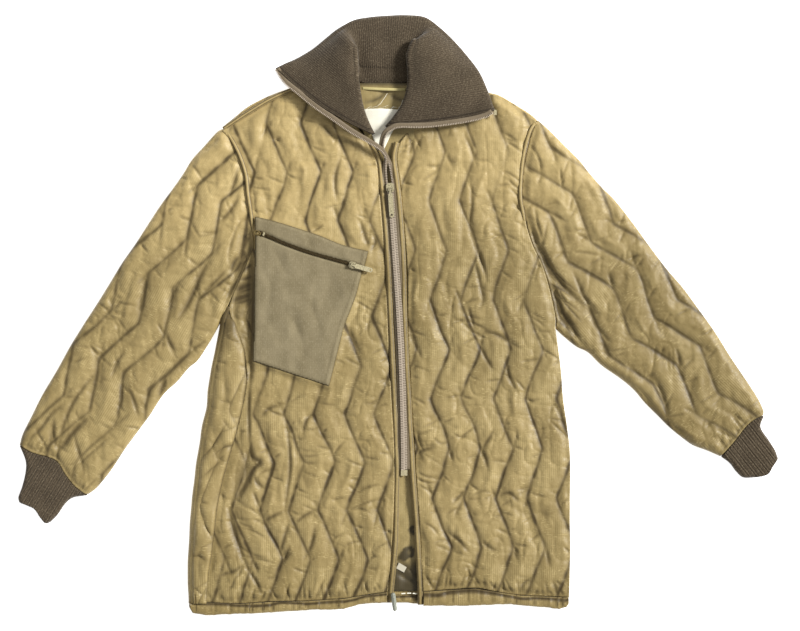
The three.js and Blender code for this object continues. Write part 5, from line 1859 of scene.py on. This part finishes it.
SLEEVES = (
    Sleeve(
        Side.RIGHT,
        Tube(
            folds=(
                xy(
                    -266, 313, -277, 307, -296, 286, -315, 265, -330, 241, -347, 217, -364, 194, -385, 162, -403, 134,
                    -424, 104, -441, 76, -462, 42, -484, 8, -505, -26, -526, -64, -548, -101, -565, -135, -578, -161,
                    -583, -178),
                xy(
                    -476, -255, -462, -244, -441, -218, -420, -186, -398, -156, -381, -133, -360, -101, -338, -80,
                    -321, -60, -306, -47, -291, -24, -277, 0, -266, 22)),
            ends=(
                xy(
                    -266, 22, -254, 50, -241, 80, -229, 108, -219, 132, -222, 154, -225, 180, -229, 209, -232, 239,
                    -240, 266, -251, 288, -266, 313),
                xy(-583, -178, -565, -189, -541, -196, -524, -204, -512, -223, -499, -240, -484, -252, -476, -255))),
        Quilting(first=272, pitch=46, vertex=35, period=154, swing=13, axis=(-0.494, -0.87), cross=(-0.87, 0.494)),
        creases=SLEEVE_RIGHT_CREASES, seed=5),
    Sleeve(
        Side.LEFT,
        Tube(
            folds=(
                xy(
                    222, 326, 240, 310, 263, 287, 286, 264, 301, 245, 321, 222, 342, 201, 371, 164, 397, 128, 422, 95,
                    447, 66, 472, 32, 497, -3, 522, -43, 547, -80, 563, -105, 572, -124, 572, -132),
                xy(
                    505, -196, 484, -187, 463, -179, 447, -168, 426, -151, 409, -134, 388, -113, 371, -93, 351, -76,
                    321, -55, 300, -35, 282, -26, 263, -11, 250, 1)),
            ends=(
                xy(
                    250, 1, 249, 25, 238, 73, 227, 106, 216, 128, 207, 154, 202, 176, 197, 205, 198, 239, 204, 275,
                    213, 308, 222, 326), xy(572, -132, 557, -139, 543, -151, 530, -168, 518, -182, 505, -196))),
        Quilting(first=241, pitch=46.5, vertex=91, period=154, swing=13, axis=(0.643, -0.766), cross=(0.766, 0.643)),
        creases=SLEEVE_LEFT_CREASES, seed=15),
)

CUFFS = (
    Cuff(
        Side.RIGHT,
        Tube(
            folds=(
                xy(-583, -180, -574, -203, -574, -220, -579, -242, -585, -259, -584, -267),
                xy(-542, -301, -535, -298, -524, -287, -512, -270, -499, -260, -478, -257)),
            ends=(
                xy(-478, -257, -484, -253, -499, -241, -512, -224, -524, -205, -541, -197, -565, -190, -583, -180),
                xy(-584, -267, -569, -273, -559, -278, -550, -291, -542, -301)), middle=7.5, rounding=7.0),
        toward=(-0.53, -0.85)),
    Cuff(
        Side.LEFT,
        Tube(
            folds=(
                xy(573, -134, 568, -151, 580, -170, 590, -186, 595, -199),
                xy(559, -229, 541, -229, 530, -220, 520, -207, 507, -197)),
            ends=(
                xy(507, -197, 519, -182, 531, -168, 544, -151, 558, -139, 573, -134),
                xy(595, -199, 586, -212, 578, -224, 559, -229)), middle=7.5, rounding=7.0), toward=(0.62, -0.78)),
)

TRIMS = (
    Trim(
        "band_right_cloth",
        xyz(
            -7.5, -420, 14.5, -6, -400, 15.5, 0.5, -338, 16.5, 1.8, -300, 16.5, 3.5, -222, 17, 2.5, -184, 17,
            -1, -107, 17, -6, 0, 17, -10.5, 100, 17, -17, 192, 17, -20.5, 228, 17, -25.5, 266, 17, -38, 291, 16.5),
        stands_for=("band_right",)),
    Trim(
        "band_left_cloth",
        xyz(
            39.5, -426, 14.5, 39, -400, 15.5, 35.5, -338, 16.5, 33.5, -300, 16.5, 27.5, -222, 17, 25.5, -184, 17,
            21, -107, 17, 15.5, 0, 17, 13, 100, 17, 7.5, 192, 17, 3.5, 228, 17, -1.5, 266, 17, 3, 291, 16.5),
        stands_for=("band_left",)),
    Trim(
        "armhole_seam_right",
        xyz(
            -262, 310, 14, -249, 288, 17, -239, 266, 18, -231, 240, 18, -227.5, 209, 18, -223, 180, 17.5,
            -220, 158, 15.5, -217, 130, 9), width=6.4, stitch_inset=0.6),
    Trim(
        "armhole_seam_left",
        xyz(217, 321, 14, 208.5, 306, 16.4, 200, 275, 17, 195.5, 239, 17, 194.5, 205, 17, 199, 178, 16, 204, 148, 9),
        width=6.4, stitch_inset=0.6),
    Trim(
        "shoulder_seam_right",
        xyz(-266, 312, 13, -250, 322.5, 15, -226, 338, 16, -193, 358, 16.5, -156, 373.5, 16.5, -110, 384, 15),
        width=7),
)

HEMS = (
    Hem(
        "hem_back_casing", "hem_back", upper=xy(-316, -412, 268, -412),
        lower=xy(-316, -434, -290, -440, -172, -437, -57, -427, 0, -423, 60, -428, 140, -426, 200, -427, 268, -428),
        base=0.0, full=7.6, seed=71),
    Hem(
        "hem_right_casing", "hem_right",
        upper=xy(-319, -421, -242, -425, -197, -422, -143, -421, -80, -417, -43, -411, -12, -407),
        lower=xy(
            -319, -430, -314, -439, -293, -443, -260, -441, -220, -440, -172, -437, -127, -434, -80, -433, -57, -426,
            -32, -423, -12, -422), seed=73),
    Hem(
        "hem_left_casing", "hem_left", upper=xy(44, -406, 73, -404, 125, -401, 154, -406, 195, -412, 270, -415),
        lower=xy(44, -428, 103, -428, 140, -427, 177, -425, 199, -428, 232, -430, 254, -433, 266, -430, 270, -424),
        seed=75),
)

# solids that stay as they are, by how their names start, and what they are made of
CARRIED = {"zip_slider": Stuff.METAL, "zip_pull": Stuff.METAL, "zip_bottom": Stuff.METAL, "zip_top": Stuff.METAL,
           "pocket_slider": Stuff.METAL, "pocket_pull": Stuff.METAL, "pocket_zip_end": Stuff.THREAD,
           "hem_tab": Stuff.TAB, "hem_cord_end": Stuff.CORD_END}


def main() -> None:
    """Builds the studio and the jacket, and gives the solids that stay as they are their materials."""
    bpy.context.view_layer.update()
    Studio().build()
    # what is sewn on a panel comes before it
    for part in (*TRIMS, *HEMS, FrontZip(), BackPanel(), *FRONTS, *SLEEVES, *CUFFS, Collar(), Neck(), POCKET):
        part.build()
    for start, stuff in CARRIED.items():
        for name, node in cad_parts.items():
            if name.startswith(start):
                node.data.materials.clear()
                node.data.materials.append(stuff.material)


if __name__ == "__main__":
    main()
